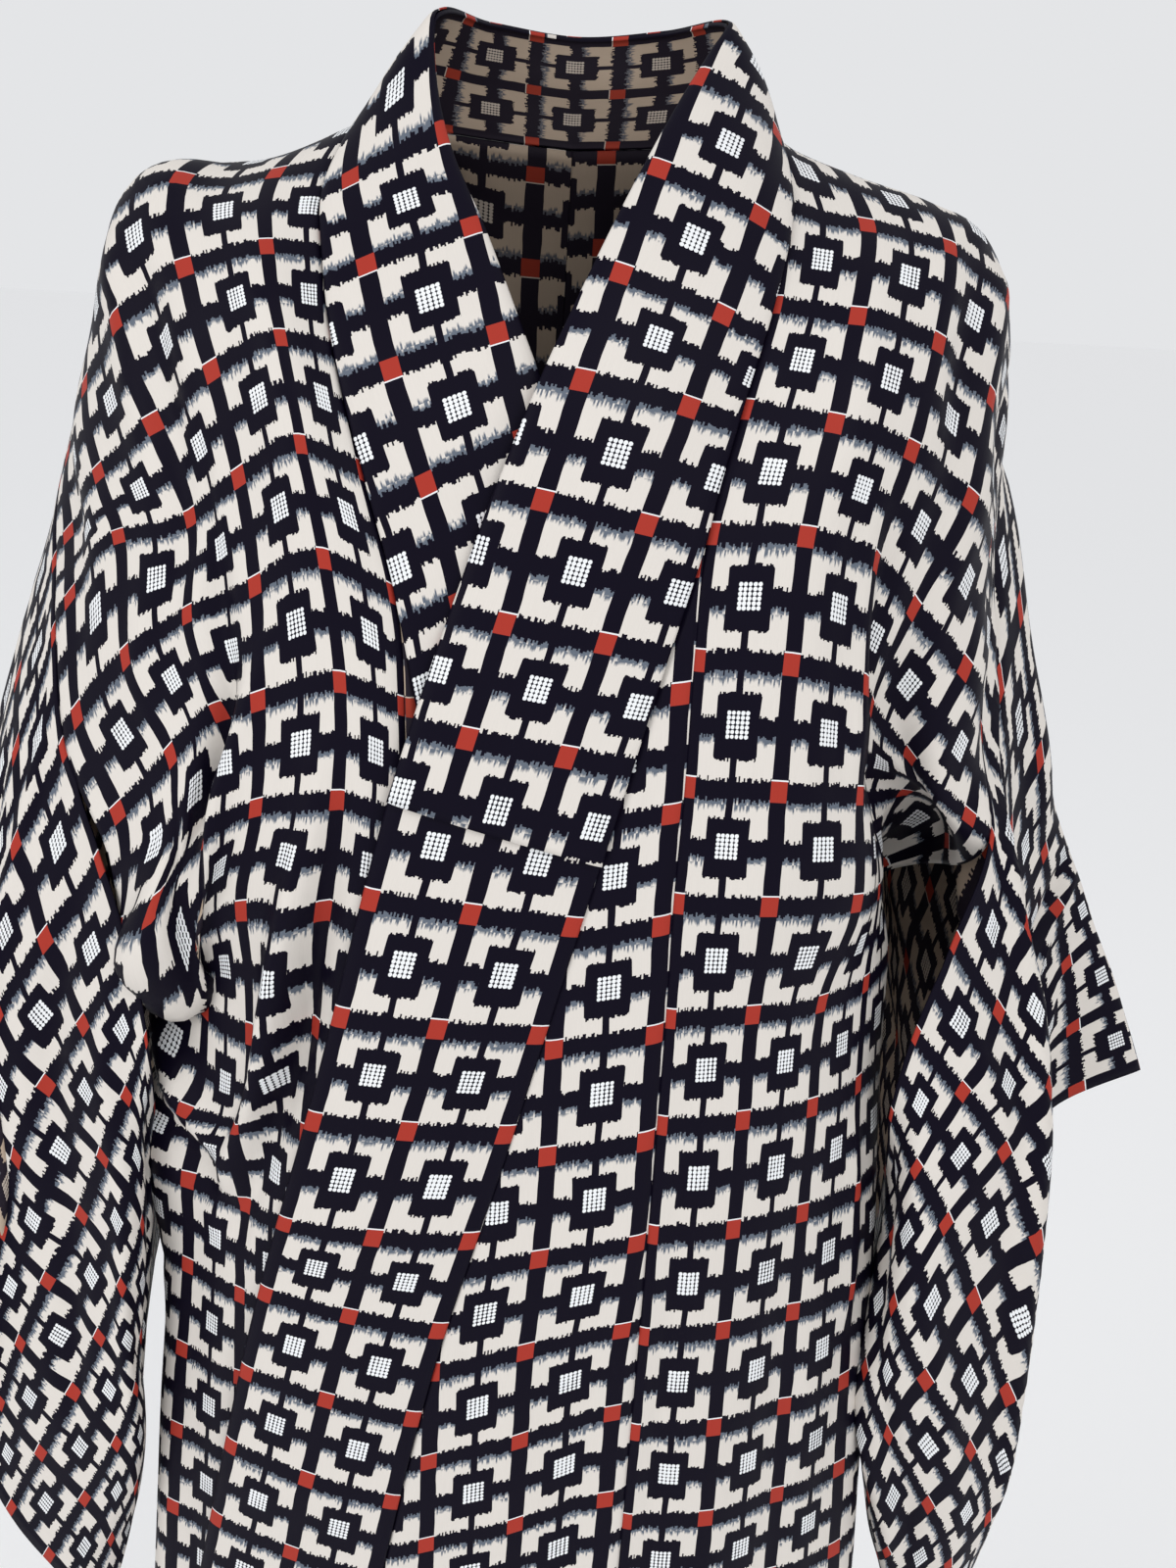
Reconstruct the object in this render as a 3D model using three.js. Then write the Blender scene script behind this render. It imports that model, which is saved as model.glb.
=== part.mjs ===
// A kimono worn open-necked and unbelted, left front over right. Millimetres, +Z up.
// Origin: on the garment's axis, level with the neck edge of the shoulders. -Y is the front,
// +X the wearer's left. Every cloth piece is a thin wall on a surface given in cloth sizes:
// w across the cloth (along the weft) and h along it (along the warp), h = 0 on the shoulder.
import * as THREE from 'three';

// ---- cut of the cloth ------------------------------------------------------------------
const CLOTH = 1.6;                    // wall of a single layer
const BAND = 2.4;                     // wall of the doubled collar
const SLEEVE_TRIM = 1.2;              // how far a sleeve's rim stands back from its seam
const BAND_PROUD = 0.8;               // how far the collar stands out past the panels
const SEAM_GAP = 0.34;                // clearance between two pieces at a seam
const LAYER = 8;                      // how far the left front lies over the right front
const NECK_HALF = 80;                 // half width of the neck slit, from the centre back
const BACK_WIDTH = 300;               // centre back to the side seam
const FRONT_SEAM = 66;                // centre front to the okumi seam
const FRONT_WIDTH = 242;              // okumi seam to the side seam
const BODY_LENGTH = 1472;             // shoulder to hem, front and back alike
const OKUMI_WIDTH = 146;
const SLEEVE_DROP = 640;              // fold on top to fold below, front and back alike
const SLEEVE_SEWN = 276;              // length of the sleeve seam, front and back alike
const CUFF_OPEN = 230;                // wrist opening, from the top fold down
const CUFF_SEAM = 7;                  // half depth of the sewn edge below the wrist opening
const HEM_Z = -1450;
const TORSO_TOP = 450;                // h below which the body hangs as a tube
const TORSO_TOP_Z = -428;

// ---- colours ---------------------------------------------------------------------------
const COLOURS = { body: 0xd9d3c6, okumi: 0xcfc9bd, collar: 0x8d8f98, over: 0x6f7480, sleeve: 0xbfb9ae };

// ---- sections of the hanging tube ------------------------------------------------------
// half width, front depth and back depth; flute is how deep the standing folds are there
const TORSO = [
  { z: -180, half: 160, front: 104, back: 118, flute: 0 },
  { z: -240, half: 168, front: 114, back: 120, flute: 0 },
  { z: -310, half: 176, front: 122, back: 121, flute: 0 },
  { z: -380, half: 183, front: 127, back: 122, flute: 3 },
  { z: -470, half: 187, front: 128, back: 124, flute: 6 },
  { z: -572, half: 192, front: 128, back: 128, flute: 9 },
  { z: -700, half: 199, front: 122, back: 132, flute: 12 },
  { z: -845, half: 206, front: 117, back: 136, flute: 14 },
  { z: -1100, half: 213, front: 117, back: 142, flute: 16 },
  { z: -1450, half: 221, front: 122, back: 150, flute: 18 },
];
const TORSO_POWER = 2.7;              // squareness of the tube's section
const FOLD_PITCH = 118;               // cloth from one standing fold to the next
const FOLDS_START = 185;              // cloth from the centre front to the first fold

// ---- upper body: a row for each weft line, a column for each sixth of the front -----------
// seam: collar or okumi seam; a to d: across the front; arm: the sleeve seam or side opening
const LEFT_FRONT = [
  { h: 55, seam: [101, -42, -58], a: [146, -34, -66], b: [186, -30, -76], c: [216, -6, -104],
    d: [230, 30, -136], arm: [238, 58, -178] },
  { h: 112, seam: [93, -77, -99], a: [135, -76, -104], b: [177, -63, -116], c: [208, -32, -146],
    d: [223, 5, -176], arm: [232, 26, -214] },
  { h: 166, seam: [81, -98, -143], a: [126, -101, -148], b: [166, -84, -162], c: [202, -57, -190],
    d: [222, -20, -222], arm: [228, -4, -256] },
  { h: 220, seam: [69, -116, -196], a: [117, -113, -196], b: [153, -93, -212], c: [178, -75, -240],
    d: [212, -59, -274], arm: [224, -33, -304] },
  { h: 276, seam: [67, -124, -252], a: [115, -120, -253], b: [151, -99, -268], c: [161, -73, -288],
    d: [190, -70, -320], arm: [231, -56, -354] },
  { h: 335, seam: [67, -129, -311], a: [114, -126, -312], b: [156, -103, -320], c: [169, -66, -336],
    d: [197, -46, -356], arm: [217, -24, -394] },
  { h: 392, seam: [66, -132, -368], a: [114, -129, -368], b: [160, -105, -374], c: [177, -64, -384],
    d: [187, -18, -394], arm: [198, 12, -424] },
];
const RIGHT_FRONT = [
  { h: 50, seam: [-112, -40, -60], a: [-153, -38, -64], b: [-194, -30, -76], c: [-222, -10, -106],
    d: [-240, 16, -142], arm: [-252, 38, -180] },
  { h: 100, seam: [-108, -72, -96], a: [-141, -82, -96], b: [-180, -62, -114], c: [-212, -38, -146],
    d: [-240, -14, -178], arm: [-257, 10, -218] },
  { h: 150, seam: [-99, -91, -136], a: [-127, -99, -131], b: [-162, -83, -154], c: [-191, -66, -182],
    d: [-226, -44, -210], arm: [-253, -14, -250] },
  { h: 200, seam: [-84, -104, -184], a: [-115, -109, -172], b: [-148, -94, -194], c: [-175, -80, -216],
    d: [-216, -57, -232], arm: [-249, -34, -278] },
  { h: 256, seam: [-68, -112, -238], a: [-104, -114, -222], b: [-140, -101, -242], c: [-176, -84, -262],
    d: [-210, -68, -294], arm: [-242, -50, -334] },
  { h: 313, seam: [-63, -118, -290], a: [-96, -119, -280], b: [-137, -107, -296], c: [-160, -94, -308],
    d: [-182, -92, -336], arm: [-216, -78, -374] },
  { h: 370, seam: [-61, -123, -345], a: [-97, -122, -338], b: [-138, -112, -348], c: [-163, -104, -368],
    d: [-190, -98, -400], arm: [-210, -60, -420] },
  { h: 412, seam: [-62, -125, -388], a: [-103, -121, -382], b: [-145, -106, -388], c: [-168, -86, -408],
    d: [-190, -48, -432], arm: [-199, -6, -440] },
];
// the back is alike on both sides; centre and nape are the two columns inside the neck slit
const BACK = [
  { h: 60, centre: [0, 100, -84], nape: [48, 94, -78], seam: [96, 62, -52], a: [140, 64, -64],
    b: [178, 68, -84], c: [203, 82, -116], d: [211, 98, -160], arm: [212, 106, -212] },
  { h: 130, centre: [0, 113, -150], nape: [48, 111, -146], seam: [95, 98, -114], a: [138, 97, -124],
    b: [171, 98, -146], c: [188, 103, -182], d: [195, 107, -226], arm: [199, 105, -278] },
  { h: 200, centre: [0, 118, -214], nape: [48, 117, -212], seam: [93, 111, -184], a: [135, 107, -192],
    b: [165, 103, -214], c: [180, 101, -250], d: [188, 100, -296], arm: [197, 94, -346] },
  { h: 276, centre: [0, 121, -282], nape: [48, 120, -281], seam: [92, 116, -262], a: [132, 110, -268],
    b: [160, 102, -286], c: [177, 95, -320], d: [189, 88, -364], arm: [206, 76, -416] },
  { h: 360, centre: [0, 122, -352], nape: [48, 121, -352], seam: [92, 118, -344], a: [132, 110, -348],
    b: [161, 98, -358], c: [181, 82, -382], d: [192, 62, -412], arm: [198, 46, -436] },
];
// the highest line of the shoulders, h = 0
const RIDGE = {
  left: { h: 0, seam: [95, 5, -27], a: [140, 9, -43], b: [183, 16, -58], c: [214, 34, -90],
    d: [226, 58, -126], arm: [230, 84, -164] },
  right: { h: 0, seam: [-98, 5, -29], a: [-142, 8, -47], b: [-184, 14, -58], c: [-214, 28, -88],
    d: [-229, 46, -128], arm: [-238, 64, -170] },
};
const NECK_BACK = { centre: [0, 80, -36], nape: [46, 68, -33] };

// ---- collar: a row for each length along it from the shoulder ------------------------------
// seam: where it is sewn on; edge: its free edge. A depth of null lies on the chest.
const COLLAR_LEFT = [
  { along: -62, seam: [54, 63, -32], edge: [42, 57, 21] },
  { along: 0, seam: [95, 5, -27], edge: [69, 5, 22] },
  { along: 28, seam: [101, -18, -40], edge: [60, -14, 6] },
  { along: 55, seam: [101, -42, -58], edge: [48, -36, -14] },
  { along: 112, seam: [93, -77, -99], edge: [29, -66, -50] },
  { along: 166, seam: [81, -98, -143], edge: [10, -93, -90] },
  { along: 220, seam: [69, -116, -196], edge: [-12, -112, -142] },
  { along: 300, seam: [51, null, -268], edge: [-38, null, -218] },
  { along: 400, seam: [27, null, -365], edge: [-69, null, -324] },
  { along: 540, seam: [-5, null, -500], edge: [-102, null, -474] },
  { along: 700, seam: [-42, null, -655], edge: [-140, null, -638] },
  { along: 920, seam: [-78, null, -872], edge: [-181, null, -862] },
];
const COLLAR_RIGHT = [
  { along: -62, seam: [-54, 63, -32], edge: [-42, 57, 21] },
  { along: 0, seam: [-98, 5, -29], edge: [-66, 5, 20] },
  { along: 26, seam: [-107, -18, -43], edge: [-65, -10, -8] },
  { along: 50, seam: [-112, -40, -60], edge: [-56, -36, -38] },
  { along: 100, seam: [-108, -72, -96], edge: [-36, -64, -76] },
  { along: 150, seam: [-99, -91, -136], edge: [-16, -92, -118] },
  { along: 200, seam: [-84, -104, -184], edge: [1, -104, -156] },
  { along: 256, seam: [-68, -112, -238], edge: [20, null, -208] },
  { along: 400, seam: [-38, null, -378], edge: [58, null, -346] },
  { along: 540, seam: [-13, null, -514], edge: [88, null, -488] },
  { along: 700, seam: [22, null, -668], edge: [124, null, -648] },
  { along: 906, seam: [68, null, -866], edge: [168, null, -850] },
];
const OVER_COLLAR_END = 393;          // end of the over-collar, along the collar from the shoulder
const NAPE = 123;                     // neck edge from the shoulder to the centre back
const SWELL = { left: 4, right: 2.4 }; // how far the band's middle stands out on each front

// ---- sleeves: a row for each length of cloth from the top fold, front (+) or back (-) ------
// sewn: body side, below the sleeve seam; inner, outer: a third and two thirds along the arm;
// wrist: the cuff side, and below the wrist opening the line where front and back are sewn
const SLEEVE_LEFT = [
  { h: 0, inner: [288, 66, -352], outer: [333, 60, -446], wrist: [372, 48, -543] },
  { h: 65, inner: [276, 36, -378], outer: [305, 40, -470], wrist: [318, 36, -562] },
  { h: 130, inner: [262, 0, -418], outer: [282, 8, -520], wrist: [284, 8, -606] },
  { h: 205, inner: [262, -30, -452], outer: [286, -16, -576], wrist: [276, -14, -676] },
  { h: 276, inner: [276, -50, -478], outer: [298, -30, -622], wrist: [276, -22, -728] },
  { h: 332, sewn: [214, -76, -404], inner: [280, -64, -508],
    outer: [304, -38, -664], wrist: [280, -27, -776] },
  { h: 389, sewn: [198, -88, -452], inner: [263, -81, -538],
    outer: [302, -50, -700], wrist: [284, -30, -824] },
  { h: 446, sewn: [192, -82, -502], inner: [234, -93, -575],
    outer: [294, -62, -732], wrist: [285, -30, -868] },
  { h: 503, sewn: [199, -56, -552], inner: [211, -94, -628],
    outer: [282, -70, -760], wrist: [281, -28, -908] },
  { h: 565, sewn: [208, -18, -604], inner: [202, -80, -688],
    outer: [262, -68, -802], wrist: [276, -22, -942] },
  { h: 640, sewn: [216, 22, -660], inner: [213, -46, -760],
    outer: [240, -40, -860], wrist: [268, -12, -968] },
  { h: -560, sewn: [216, 52, -650], inner: [227, -8, -756], outer: [248, 0, -856] },
  { h: -480, sewn: [212, 72, -600], inner: [229, 42, -712], outer: [254, 38, -826] },
  { h: -390, sewn: [208, 84, -520], inner: [228, 84, -640], outer: [260, 70, -762] },
  { h: -276, inner: [238, 106, -556], outer: [272, 84, -672] },
  { h: -200, inner: [250, 110, -490], outer: [288, 92, -604], wrist: [290, 30, -676] },
  { h: -130, inner: [264, 104, -432], outer: [304, 92, -542], wrist: [318, 62, -624] },
  { h: -60, inner: [279, 90, -384], outer: [322, 80, -486], wrist: [352, 66, -572] },
];
const SLEEVE_RIGHT = [
  { h: 0, inner: [-276, 50, -330], outer: [-300, 36, -440], wrist: [-306, 34, -552] },
  { h: 65, inner: [-290, 18, -352], outer: [-295, 6, -466], wrist: [-300, 4, -582] },
  { h: 130, inner: [-296, -14, -385], outer: [-287, -24, -500], wrist: [-296, -22, -618] },
  { h: 205, inner: [-293, -40, -430], outer: [-282, -46, -546], wrist: [-300, -34, -664] },
  { h: 276, inner: [-292, -52, -476], outer: [-284, -56, -594], wrist: [-310, -36, -704] },
  { h: 332, sewn: [-212, -80, -404], inner: [-284, -58, -516],
    outer: [-292, -58, -630], wrist: [-318, -36, -736] },
  { h: 389, sewn: [-198, -90, -446], inner: [-254, -70, -550],
    outer: [-288, -60, -660], wrist: [-318, -42, -768] },
  { h: 446, sewn: [-194, -86, -492], inner: [-214, -86, -576],
    outer: [-264, -72, -684], wrist: [-306, -48, -798] },
  { h: 503, sewn: [-199, -58, -546], inner: [-203, -84, -620],
    outer: [-230, -86, -706], wrist: [-288, -54, -828] },
  { h: 565, sewn: [-208, -18, -600], inner: [-206, -66, -668],
    outer: [-210, -84, -740], wrist: [-262, -58, -860] },
  { h: 640, sewn: [-217, 22, -656], inner: [-218, -28, -722],
    outer: [-218, -54, -802], wrist: [-240, -50, -902] },
  { h: -560, sewn: [-217, 52, -646], inner: [-228, 8, -718], outer: [-236, -12, -806] },
  { h: -480, sewn: [-213, 72, -594], inner: [-229, 48, -690], outer: [-252, 28, -792] },
  { h: -390, sewn: [-210, 84, -516], inner: [-230, 84, -630], outer: [-268, 58, -750] },
  { h: -276, inner: [-238, 100, -546], outer: [-282, 74, -664] },
  { h: -200, inner: [-250, 98, -470], outer: [-286, 70, -592], wrist: [-300, 40, -676] },
  { h: -130, inner: [-260, 90, -410], outer: [-290, 62, -528], wrist: [-306, 62, -636] },
  { h: -60, inner: [-268, 74, -364], outer: [-297, 50, -474], wrist: [-309, 54, -590] },
];

// ---- fineness of the walls ---------------------------------------------------------------
const STEP = { across: 5, neck: 2, sleeve: 6, okumi: 4, collar: 3 };
const TIP = { left: 220, right: 248 };    // last panel row that is sewn straight to the collar
const ARM_STEPS = [0, 27, 55, 84, 112, 139, 166, 193, 220, 248, SLEEVE_SEWN];
const LOW_STEPS = [305, 335, 363, 392, 421, TORSO_TOP, 500, 560, 630, 700, 780, 860];
const HEM_STEPS = [950, 1040, 1140, 1250, 1360, BODY_LENGTH];
const BODY_STEPS = [...ARM_STEPS, ...LOW_STEPS, ...HEM_STEPS];
const COLLAR_FOOT = 894;                  // panel row at the lower end of the collar
const OKUMI_STEPS = {
  left: [230, 248, SLEEVE_SEWN, ...LOW_STEPS, COLLAR_FOOT],
  right: [SLEEVE_SEWN, ...LOW_STEPS, COLLAR_FOOT],
};
const OKUMI_LOW = HEM_STEPS;
const SLEEVE_STEPS = [304, 332, 360, 389, 418, 446, 475, 503, 534, 565, 602];

// ---- small vector and spline helpers -------------------------------------------------------
const add = (p, q, k = 1) => [p[0] + k * q[0], p[1] + k * q[1], p[2] + k * q[2]];
const sub = (p, q) => add(p, q, -1);
const scale = (p, k) => [p[0] * k, p[1] * k, p[2] * k];
const mix = (p, q, t) => p.map((v, i) => v + (q[i] - v) * t);
const cross = (p, q) => [p[1] * q[2] - p[2] * q[1], p[2] * q[0] - p[0] * q[2], p[0] * q[1] - p[1] * q[0]];
const unit = (p) => scale(p, 1 / (Math.hypot(...p) || 1));
const mirror = (p) => [-p[0], p[1], p[2]];
const lerp = (a, b, t) => a + (b - a) * t;

/** Value at t of a smooth curve through the values at rising knots. */
function spline(knots, values, t) {
  const last = knots.length - 1;
  let i = 0;
  while (i < last - 1 && t > knots[i + 1]) i += 1;
  const span = knots[i + 1] - knots[i];
  const s = Math.min(1, Math.max(0, (t - knots[i]) / span));
  const slope = (k) => {
    const lo = Math.max(0, k - 1);
    const hi = Math.min(last, k + 1);
    return scale(sub(values[hi], values[lo]), span / (knots[hi] - knots[lo]));
  };
  const [from, to, m0, m1] = [values[i], values[i + 1], slope(i), slope(i + 1)];
  const a = (2 * s - 3) * s * s;
  const near = add(scale(from, 1 + a), scale(to, -a));
  return add(add(near, m0, s * (1 - s) * (1 - s)), m1, s * s * (s - 1));
}

/** A table's column as a curve of h or along. */
const column = (rows, key, name) => {
  const knots = rows.map((row) => row[key]);
  const values = rows.map((row) => row[name]);
  return (t) => spline(knots, values, t);
};

// ---- the hanging tube ------------------------------------------------------------------
const torsoSize = (z) => {
  const rows = TORSO.slice().reverse();
  const at = (name) => spline(rows.map((r) => r.z), rows.map((r) => [r[name], 0, 0]), z)[0];
  return { half: at('half'), front: at('front'), back: at('back'), flute: at('flute') };
};

/** Point of the tube's section at an angle from the centre front, without folds. */
function sectionPoint(size, angle) {
  const power = 2 / TORSO_POWER;
  const [sin, cos] = [Math.sin(angle), Math.cos(angle)];
  const depth = cos > 0 ? size.front : size.back;
  const across = size.half * Math.sign(sin) * Math.abs(sin) ** power;
  return [across, -depth * Math.sign(cos) * Math.abs(cos) ** power];
}

/** Half of the tube's section at z as points and lengths from the centre front. */
function halfSection(z) {
  const count = 160;
  const size = torsoSize(z);
  const plain = Array.from({ length: count + 1 }, (_, i) => sectionPoint(size, (Math.PI * i) / count));
  const run = [0];
  for (let i = 1; i <= count; i += 1) {
    run.push(run[i - 1] + Math.hypot(plain[i][0] - plain[i - 1][0], plain[i][1] - plain[i - 1][1]));
  }
  return { size, plain, run };
}

/** Depth of the standing folds at a length of cloth from the centre front. */
function foldDepth(size, s, total) {
  const away = Math.min(1, Math.max(0, (s - FOLDS_START) / 40));
  const near = Math.min(1, Math.max(0, (total - s) / 60));
  const wave = Math.cos((2 * Math.PI * (s - FOLDS_START - 18)) / FOLD_PITCH);
  return size.flute * away * near * wave;
}

const sectionCache = new Map();

/** The folded half section at z: cloth lengths and points, both from the centre front. */
function foldedSection(z) {
  const key = z.toFixed(3);
  if (sectionCache.has(key)) return sectionCache.get(key);
  const { size, plain, run } = halfSection(z);
  const total = run[run.length - 1];
  const points = plain.map((p, i) => {
    const [q, r] = [plain[Math.max(0, i - 1)], plain[Math.min(plain.length - 1, i + 1)]];
    const side = Math.hypot(r[0] - q[0], r[1] - q[1]);
    const out = [-(q[1] - r[1]) / side, (q[0] - r[0]) / side];
    const depth = foldDepth(size, run[i], total);
    return [p[0] + out[0] * depth, p[1] + out[1] * depth, z];
  });
  const cloth = [0];
  for (let i = 1; i < points.length; i += 1) {
    cloth.push(cloth[i - 1] + Math.hypot(...sub(points[i], points[i - 1])));
  }
  const half = FRONT_SEAM + FRONT_WIDTH + BACK_WIDTH;
  const ease = half / cloth[cloth.length - 1];
  const eased = (c, i) => lerp(c, c * ease, Math.min(1, Math.max(0, (run[i] - 90) / 90)));
  const section = { cloth: cloth.map(eased), points };
  sectionCache.set(key, section);
  return section;
}

/** Point of the tube at cloth length s from the centre front, towards +X, moved out. */
function torso(s, z, out = 0) {
  const { cloth, points } = foldedSection(z);
  const length = Math.min(cloth[cloth.length - 1], Math.abs(s));
  let i = 0;
  while (i < cloth.length - 2 && cloth[i + 1] < length) i += 1;
  const t = (length - cloth[i]) / (cloth[i + 1] - cloth[i]);
  const p = mix(points[i], points[i + 1], t);
  const run = unit(sub(points[i + 1], points[i]));
  const moved = [p[0] + run[1] * out, p[1] - run[0] * out, p[2]];
  return s < 0 ? mirror(moved) : moved;
}

/** Point of the chest at x and z, moved out to the front. */
function chest(x, z, out) {
  const size = torsoSize(z);
  const left = Math.max(0, 1 - (Math.abs(x) / size.half) ** TORSO_POWER);
  return [x, -size.front * left ** (1 / TORSO_POWER) - out, z];
}

const torsoZ = (h) => lerp(TORSO_TOP_Z, HEM_Z, (h - TORSO_TOP) / (BODY_LENGTH - TORSO_TOP));

// ---- a wall from a sheet of points ---------------------------------------------------------
/** A sheet: points with their cells, four point numbers each, seen from outside. */
const sheetOf = () => ({ points: [], cells: [] });

/** Adds a grid of points to a sheet; keep(i, j) gives a point that is there already. */
function addGrid(sheet, rows, columns, pointAt, keep = () => undefined) {
  const index = [];
  for (let i = 0; i < rows; i += 1) {
    index.push([]);
    for (let j = 0; j < columns; j += 1) {
      const held = keep(i, j);
      index[i].push(held === undefined ? sheet.points.push(pointAt(i, j)) - 1 : held);
    }
  }
  for (let i = 0; i < rows - 1; i += 1) {
    for (let j = 0; j < columns - 1; j += 1) {
      sheet.cells.push([index[i][j], index[i][j + 1], index[i + 1][j + 1], index[i + 1][j]]);
    }
  }
  return index;
}

/** Directions in which the sheet faces at each point. */
function facing(sheet) {
  const normals = sheet.points.map(() => [0, 0, 0]);
  for (const cell of sheet.cells) {
    const [a, b, c, d] = cell.map((k) => sheet.points[k]);
    const face = cross(sub(c, a), sub(d, b));
    for (const k of cell) normals[k] = add(normals[k], face);
  }
  return normals.map(unit);
}

/** Rim edges of a sheet, each in the direction of its cell. */
function rimOf(cells) {
  const edges = new Map();
  for (const cell of cells) {
    cell.forEach((from, k) => {
      const to = cell[(k + 1) % 4];
      if (from === to) return;
      const back = `${to},${from}`;
      if (edges.has(back)) edges.delete(back);
      else edges.set(`${from},${to}`, [from, to]);
    });
  }
  return [...edges.values()];
}

/** Moves the rim of a sheet inwards by half the seam gap. */
function trimRim(sheet, normals, by) {
  const inward = new Map();
  for (const [from, to] of rimOf(sheet.cells)) {
    const along = unit(sub(sheet.points[to], sheet.points[from]));
    for (const k of [from, to]) {
      const side = unit(cross(normals[k], along));
      inward.set(k, add(inward.get(k) || [0, 0, 0], side));
    }
  }
  for (const [k, side] of inward) sheet.points[k] = add(sheet.points[k], unit(side), by);
}

/** Closed wall: the sheet moved out by lift, and the same points a thickness further in. */
function wallGeometry(sheet, normals, thickness, lift) {
  const count = sheet.points.length;
  const outer = sheet.points.map((p, k) => add(p, normals[k], lift));
  const inner = sheet.points.map((p, k) => add(p, normals[k], lift - thickness));
  const faces = [];
  const quad = (a, b, c, d) => faces.push(a, b, c, a, c, d);
  for (const [a, b, c, d] of sheet.cells) {
    quad(a, b, c, d);
    quad(c + count, b + count, a + count, d + count);
  }
  for (const [from, to] of rimOf(sheet.cells)) quad(to, from, from + count, to + count);
  const geometry = new THREE.BufferGeometry();
  geometry.setAttribute('position', new THREE.Float32BufferAttribute([...outer, ...inner].flat(), 3));
  geometry.setIndex(faces);
  return geometry;
}

// ---- body panels: one length of cloth from the front hem over the shoulder to the back hem ---
const FRONT_COLUMNS = ['seam', 'a', 'b', 'c', 'd', 'arm'];
const NECK_COLUMNS = ['centre', 'nape'];

/** How far out the left front lies at a part of its width, falling away to the side seam. */
const liftAt = (lift, part) => lift * (1 - Math.max(0, part - 0.5) ** 2 * 4);

/** Rows of the tube for a table, below the tabled ones: h rises, side is 1 or -1. */
function torsoRows(side, front, lift) {
  const heights = [TORSO_TOP, 520, 600, 700, 820, 960, 1120, 1290, BODY_LENGTH];
  const total = FRONT_SEAM + FRONT_WIDTH + BACK_WIDTH;
  return heights.map((h) => {
    const z = torsoZ(h);
    const row = { h };
    FRONT_COLUMNS.forEach((name, k) => {
      const part = k / (FRONT_COLUMNS.length - 1);
      const ahead = lerp(FRONT_SEAM, FRONT_SEAM + FRONT_WIDTH, part);
      const s = front ? ahead : total - lerp(NECK_HALF, BACK_WIDTH, part);
      row[name] = torso(side * s, z, front ? liftAt(lift, part) : 0);
    });
    row.centre = torso(side * total, z);
    row.nape = torso(side * (total - NECK_HALF / 2), z);
    return row;
  });
}

const mirrored = (row, names) => Object.fromEntries(names.map((name) => [name, mirror(row[name])]));

/** Whole table of a body panel, from the back hem (h < 0) to the front hem. */
function bodyTable(side, tabled, ridge, lift) {
  const names = [...NECK_COLUMNS, ...FRONT_COLUMNS];
  const back = BACK.map((row) => ({ ...row, ...(side > 0 ? {} : mirrored(row, names)), h: -row.h }));
  const backTube = torsoRows(side, false, 0).map((row) => ({ ...row, h: -row.h }));
  const neck = side > 0 ? NECK_BACK : mirrored(NECK_BACK, NECK_COLUMNS);
  return [...backTube.reverse(), ...back.reverse(), { ...ridge, ...neck }, ...tabled,
    ...torsoRows(side, true, lift)];
}

/** Surface of a body panel: h along it, part 0 at the collar or okumi seam, 1 at the arm. */
function bodySurface(table) {
  const curves = FRONT_COLUMNS.map((name) => column(table, 'h', name));
  const knots = FRONT_COLUMNS.map((_, k) => k / (FRONT_COLUMNS.length - 1));
  const backTable = table.filter((row) => row.h <= 0);
  const neck = NECK_COLUMNS.map((name) => column(backTable, 'h', name));
  return {
    wide: (h, part) => spline(knots, curves.map((curve) => curve(h)), part),
    inNeck: (h, part) => spline([0, 0.5, 1], [neck[0](h), neck[1](h), curves[0](h)], part),
    seam: curves[0],
    arm: curves[FRONT_COLUMNS.length - 1],
  };
}

/** Sheet of a body panel; its columns run so that its cells face out on either side. */
function bodySheet(surface, side) {
  const sheet = sheetOf();
  const heights = [...BODY_STEPS.slice(1).map((h) => -h).reverse(), ...BODY_STEPS];
  const turn = (j, steps) => (side < 0 ? j : steps - j);
  const across = STEP.across * 2;
  const wide = addGrid(sheet, heights.length, across + 1,
    (i, j) => surface.wide(heights[i], turn(j, across) / across));
  const seamColumn = turn(0, across);
  const neckSteps = STEP.neck * 2;
  addGrid(sheet, BODY_STEPS.length, neckSteps + 1,
    (i, j) => surface.inNeck(heights[i], turn(j, neckSteps) / neckSteps),
    (i, j) => (turn(j, neckSteps) === neckSteps ? wide[i][seamColumn] : undefined));
  return sheet;
}

// ---- collar and okumi --------------------------------------------------------------------
/** One table for the whole band: u runs from the right front round the neck to the left. */
function bandTable() {
  const onBody = (p, lift) => (p[1] === null ? chest(p[0], p[2], lift) : p);
  const half = (rows, sign, lift) => rows.map((row) => ({
    u: sign * (row.along + NAPE), seam: onBody(row.seam, lift), edge: onBody(row.edge, lift),
    swell: [sign > 0 ? SWELL.left : SWELL.right, 0, 0],
  }));
  const middle = { u: 0, seam: NECK_BACK.centre, edge: [0, 74, 18], swell: [2, 0, 0] };
  return [...half(COLLAR_RIGHT, -1, 0).reverse(), middle, ...half(COLLAR_LEFT, 1, LAYER)];
}

/** Surface of the band: u along it, part 0 at its seam and 1 at its free edge. */
function bandSurface(table, bodies) {
  const [tabled, edge, swell] = ['seam', 'edge', 'swell'].map((name) => column(table, 'u', name));
  const seam = (u) => {
    const [body, tip] = u < 0 ? [bodies.right, TIP.right] : [bodies.left, TIP.left];
    const h = Math.abs(u) - NAPE;
    if (h > tip) return tabled(u);
    return h > 0 ? body.seam(h) : body.inNeck(0, Math.abs(u) / NAPE);
  };
  const at = (u, part) => {
    const [from, to] = [seam(u), edge(u)];
    const along = sub(tabled(u + 2), tabled(u - 2));
    const out = unit(cross(sub(to, from), along));
    return add(mix(from, to, part), out, 4 * part * (1 - part) * swell(u)[0]);
  };
  return { at, seam };
}

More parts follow.
